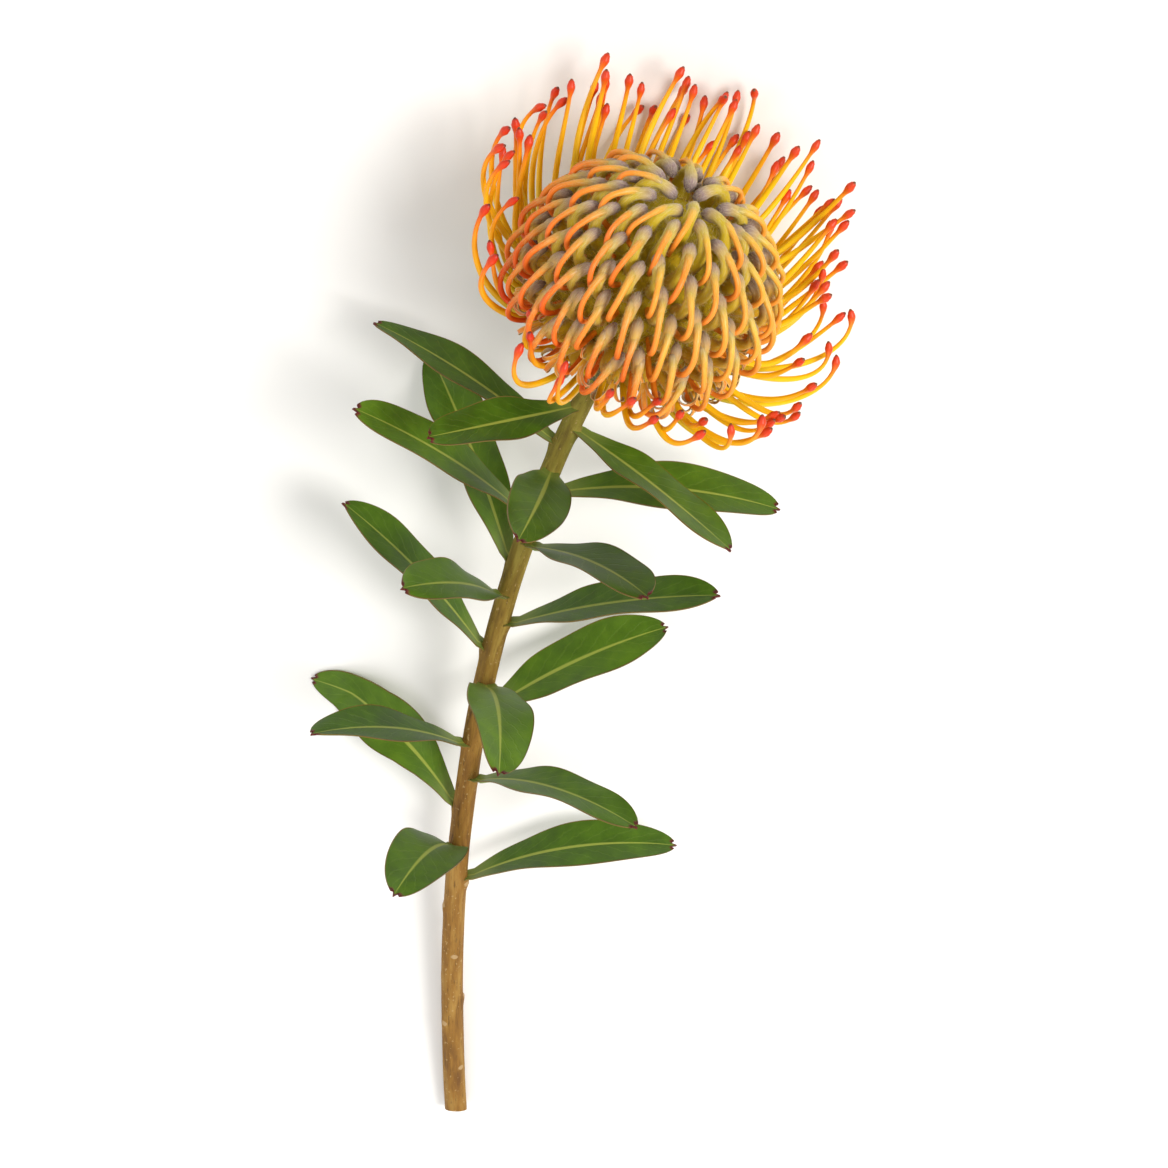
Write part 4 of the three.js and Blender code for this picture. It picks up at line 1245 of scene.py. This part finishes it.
def leaf_paint():
    """Leathery green blade: pale midrib, pinnate veins, thin reddish margin and dark callus teeth."""
    paint = Paint("leaf_skin", 0.5, specular=0.28, subsurface=0.06)
    from_rib = paint.maths("ABSOLUTE", "across")
    mottle = paint.noise(0.12, 1.0, detail=5, roughness=0.6)
    dark = paint.ramp(mottle, (0.3, "324C07"), (0.5, "3A5808"), (0.7, "44640B"))
    light = paint.ramp(mottle, (0.3, "466409"), (0.5, "50700C"), (0.7, "5C7C0F"))
    top = paint.mix(dark, light, "tint")
    under = paint.ramp(mottle, (0.3, "6A8236"), (0.5, "72893A"), (0.7, "7B9141"))
    base = paint.mix(under, top, "upper")
    veins = leaf_veins(paint, from_rib)
    rib_edge = paint.maths("ADD", from_rib, paint.scaled("along", -0.055, 0.03))
    base = paint.stained(
        base,
        ("8A9A48", paint.without(paint.step("along", 0.0, 0.22)), 0.7),
        ("7E9A34", veins, 0.1),
        ("A6AE4A", paint.without(paint.step(rib_edge, 0.02, 0.075)), 0.7),
        ("7A4420", paint.step(from_rib, 0.955, 0.99), 0.6),
        ("5E1E18", paint.step("along", 0.982, 0.996), 1.0),
    )
    pits = paint.scaled(paint.noise(1.6, 1.0), 0, 0.5)
    relief = paint.maths("SUBTRACT", pits, paint.times(veins, 0.5))
    return paint.wear(base, paint.scaled(mottle, 0.4, 0.6), relief, 0.35, 0.0003)


def floor_paint():
    paint = Paint("floor_paint", 0.7, specular=0.2)
    cloud = paint.noise(1.0, 1.0, place=paint.node("TexCoord", "Object", {}))
    return paint.wear(paint.ramp(cloud, (0.35, "EDECE9"), (0.65, "F3F2F0")))


# Colours along the pieces, from the foot to the tip

PERIANTH_HIGH = [
    (0, "B8A00C"), (0.2, "C4A810"), (0.42, "C6AA16"), (0.6, "C4AC34"),
    (0.72, "B89E60"), (0.84, "947C7C"), (1, "584248"),
]
PERIANTH_LOW = [
    (0, "C0980C"), (0.2, "CCA010"), (0.42, "D0A614"), (0.6, "D0A430"),
    (0.74, "C49A50"), (0.86, "A08668"), (1, "665048"),
]
LOOP_YELLOW = [
    (0, "9C8C74"), (0.07, "BEA64A"), (0.14, "DEB43A"), (0.22, "F0B03A"),
    (0.34, "F5A53A"), (0.55, "F19432"), (0.75, "EC941A"), (1, "BE900C"),
]
LOOP_ORANGE = [
    (0, "96806E"), (0.07, "C08E3C"), (0.13, "E07E28"), (0.22, "EA661A"),
    (0.36, "E85412"), (0.55, "E0460C"), (0.75, "DE660A"), (1, "AC6A0A"),
]
STYLE_YELLOW = [
    (0, "D6BE1C"), (0.3, "FACE14"), (0.62, "FDC812"), (0.8, "FBB414"),
    (0.875, "F2881C"), (0.94, "E04818"), (0.985, "D03A16"), (1, "664024"),
]
STYLE_ORANGE = [
    (0, "D2AE1A"), (0.3, "F4B80E"), (0.62, "F4A20E"), (0.8, "EE7E16"),
    (0.88, "E65A1A"), (0.94, "D83A14"), (0.985, "C22C14"), (1, "56281C"),
]
RIBBON_INSIDE = [(0, "D6AE22"), (0.4, "E09A26"), (0.75, "DC7A2E"), (1, "B4663E")]
RIBBON_OUTSIDE = [(0, "B8A628"), (0.5, "C4AE3C"), (0.8, "C0A468"), (1, "94807A")]
# The cut wood from the bark in to the pith
CUT_WOOD = [
    (0, "6A4A24"), (0.06, "7E9040"), (0.16, "D8C48E"), (0.7, "E2D2A4"), (0.86, "C9A868"), (1, "8A6434"),
]


# The pieces


def make_bloom():
    perianths, loops, styles, ribbons, hairs, wool = (Shell() for _ in range(6))
    for floret in settled_florets():
        if floret.open:
            add_open_style(styles, floret)
            add_sheath(perianths, floret)
        else:
            add_perianth(perianths, floret, hairs)
            add_loop(loops, floret)
        if floret.open and not floret.between:
            add_ribbons(ribbons, floret)
        add_tube_hairs(wool, floret)
    add_core_wool(wool)
    closed_skin = style_paint("closed_style_skin", LOOP_YELLOW, LOOP_ORANGE, silky_foot=0.26)
    pieces = [
        (receptacle_core(), "receptacle_core", core_paint(), 1),
        (perianths, "perianth_tubes", perianth_paint(), 4),
        (loops, "closed_styles", closed_skin, 6),
        (styles, "open_styles", style_paint("open_style_skin", STYLE_YELLOW, STYLE_ORANGE), 8),
        (ribbons, "perianth_ribbons", ribbon_paint(), 0.25),
        (hairs, "limb_hairs", hair_paint("limb_silk", "B8A444", "E8D884", "D4C4BC"), 1),
        (wool, "tube_wool", hair_paint("tube_wool_fibre", "DCC050", "EEDC94", "EACB78"), 1),
    ]
    for shell, name, material, aspect in pieces:
        shell.make(name, material, "floret", ["flower_head"], aspect)


def make_involucre():
    shell, hairs = involucre()
    shell.make("bracts", bract_paint(), "bract", ["involucre"])
    wool = hair_paint("bract_wool", "7A765A", "CFCAB4", "A8A288")
    hairs.make("bract_hairs", wool, "bract", ["involucre"])


def make_stem_and_leaves():
    stem_piece = stem_shell().make("stem_bark", bark_paint(), "bark", ["stem"])
    stem_piece.data.set_sharp_from_angle(angle=50 * DEGREE)
    green = leaf_paint()
    for index in range(LEAF_COUNT):
        name = f"leaf_{index + 1:02d}"
        leaf_shell(index).make(f"{name}_blade", green, "leaf", [name])


# Floor, light and camera

FLOOR_SIZE = 6
FLOOR_DROP = 0.0003
CAMERA_RISE = 62 * DEGREE
CAMERA_ROLL = 5 * DEGREE
CAMERA_DISTANCE = 0.86
CAMERA_TARGET = Vector((0.0096, 0.028, 0.018))
CAMERA_ANGLE = 24.5 * DEGREE


def make_floor():
    bpy.ops.mesh.primitive_plane_add(size=FLOOR_SIZE, location=(0, 0, -FLOOR_DROP))
    floor = bpy.context.object
    floor.name = "floor"
    floor.data.materials.append(floor_paint())


def area_light(name, place, target, size, power, tone):
    data = bpy.data.lights.new(name, "AREA")
    data.shape = "DISK"
    data.size = size
    data.energy = power
    data.color = tone
    lamp = new_object(name, data)
    lamp.location = place
    lamp.rotation_euler = (Vector(target) - Vector(place)).to_track_quat("-Z", "Y").to_euler()


def make_light():
    area_light("key", (0.75, 0.4, 1.1), (0, 0.05, 0.05), 0.6, 15, (1.0, 0.98, 0.95))
    area_light("fill", (-0.9, 0.2, 0.9), (0, 0, 0.05), 0.9, 4, (0.98, 0.98, 1.0))
    area_light("rim", (0.1, -0.9, 0.8), (0, 0.1, 0.05), 0.8, 4, (1.0, 1.0, 1.0))
    world = bpy.data.worlds.new("pale_room")
    bpy.context.scene.world = world
    world.use_nodes = True
    background = world.node_tree.nodes["Background"]
    background.inputs["Color"].default_value = (1.0, 0.99, 0.97, 1.0)
    background.inputs["Strength"].default_value = 0.6


def make_camera():
    """The camera looks down from the bloom's end, with the bloom at the top of the picture."""
    back = Vector((0, math.cos(CAMERA_RISE), math.sin(CAMERA_RISE)))
    up = Vector((0, math.sin(CAMERA_RISE), -math.cos(CAMERA_RISE)))
    right = up.cross(back)
    picture = Matrix((right, up, back)).transposed()
    roll = Matrix.Rotation(CAMERA_ROLL, 3, "Z")
    data = bpy.data.cameras.new("camera")
    data.angle = CAMERA_ANGLE
    data.clip_start = 0.05
    camera = new_object("camera", data)
    turn = (picture @ roll).to_4x4()
    camera.matrix_world = Matrix.Translation(CAMERA_TARGET + back * CAMERA_DISTANCE) @ turn
    bpy.context.scene.camera = camera


make_bloom()
make_involucre()
make_stem_and_leaves()
make_floor()
make_light()
make_camera()
bpy.context.scene.view_settings.view_transform = "Standard"
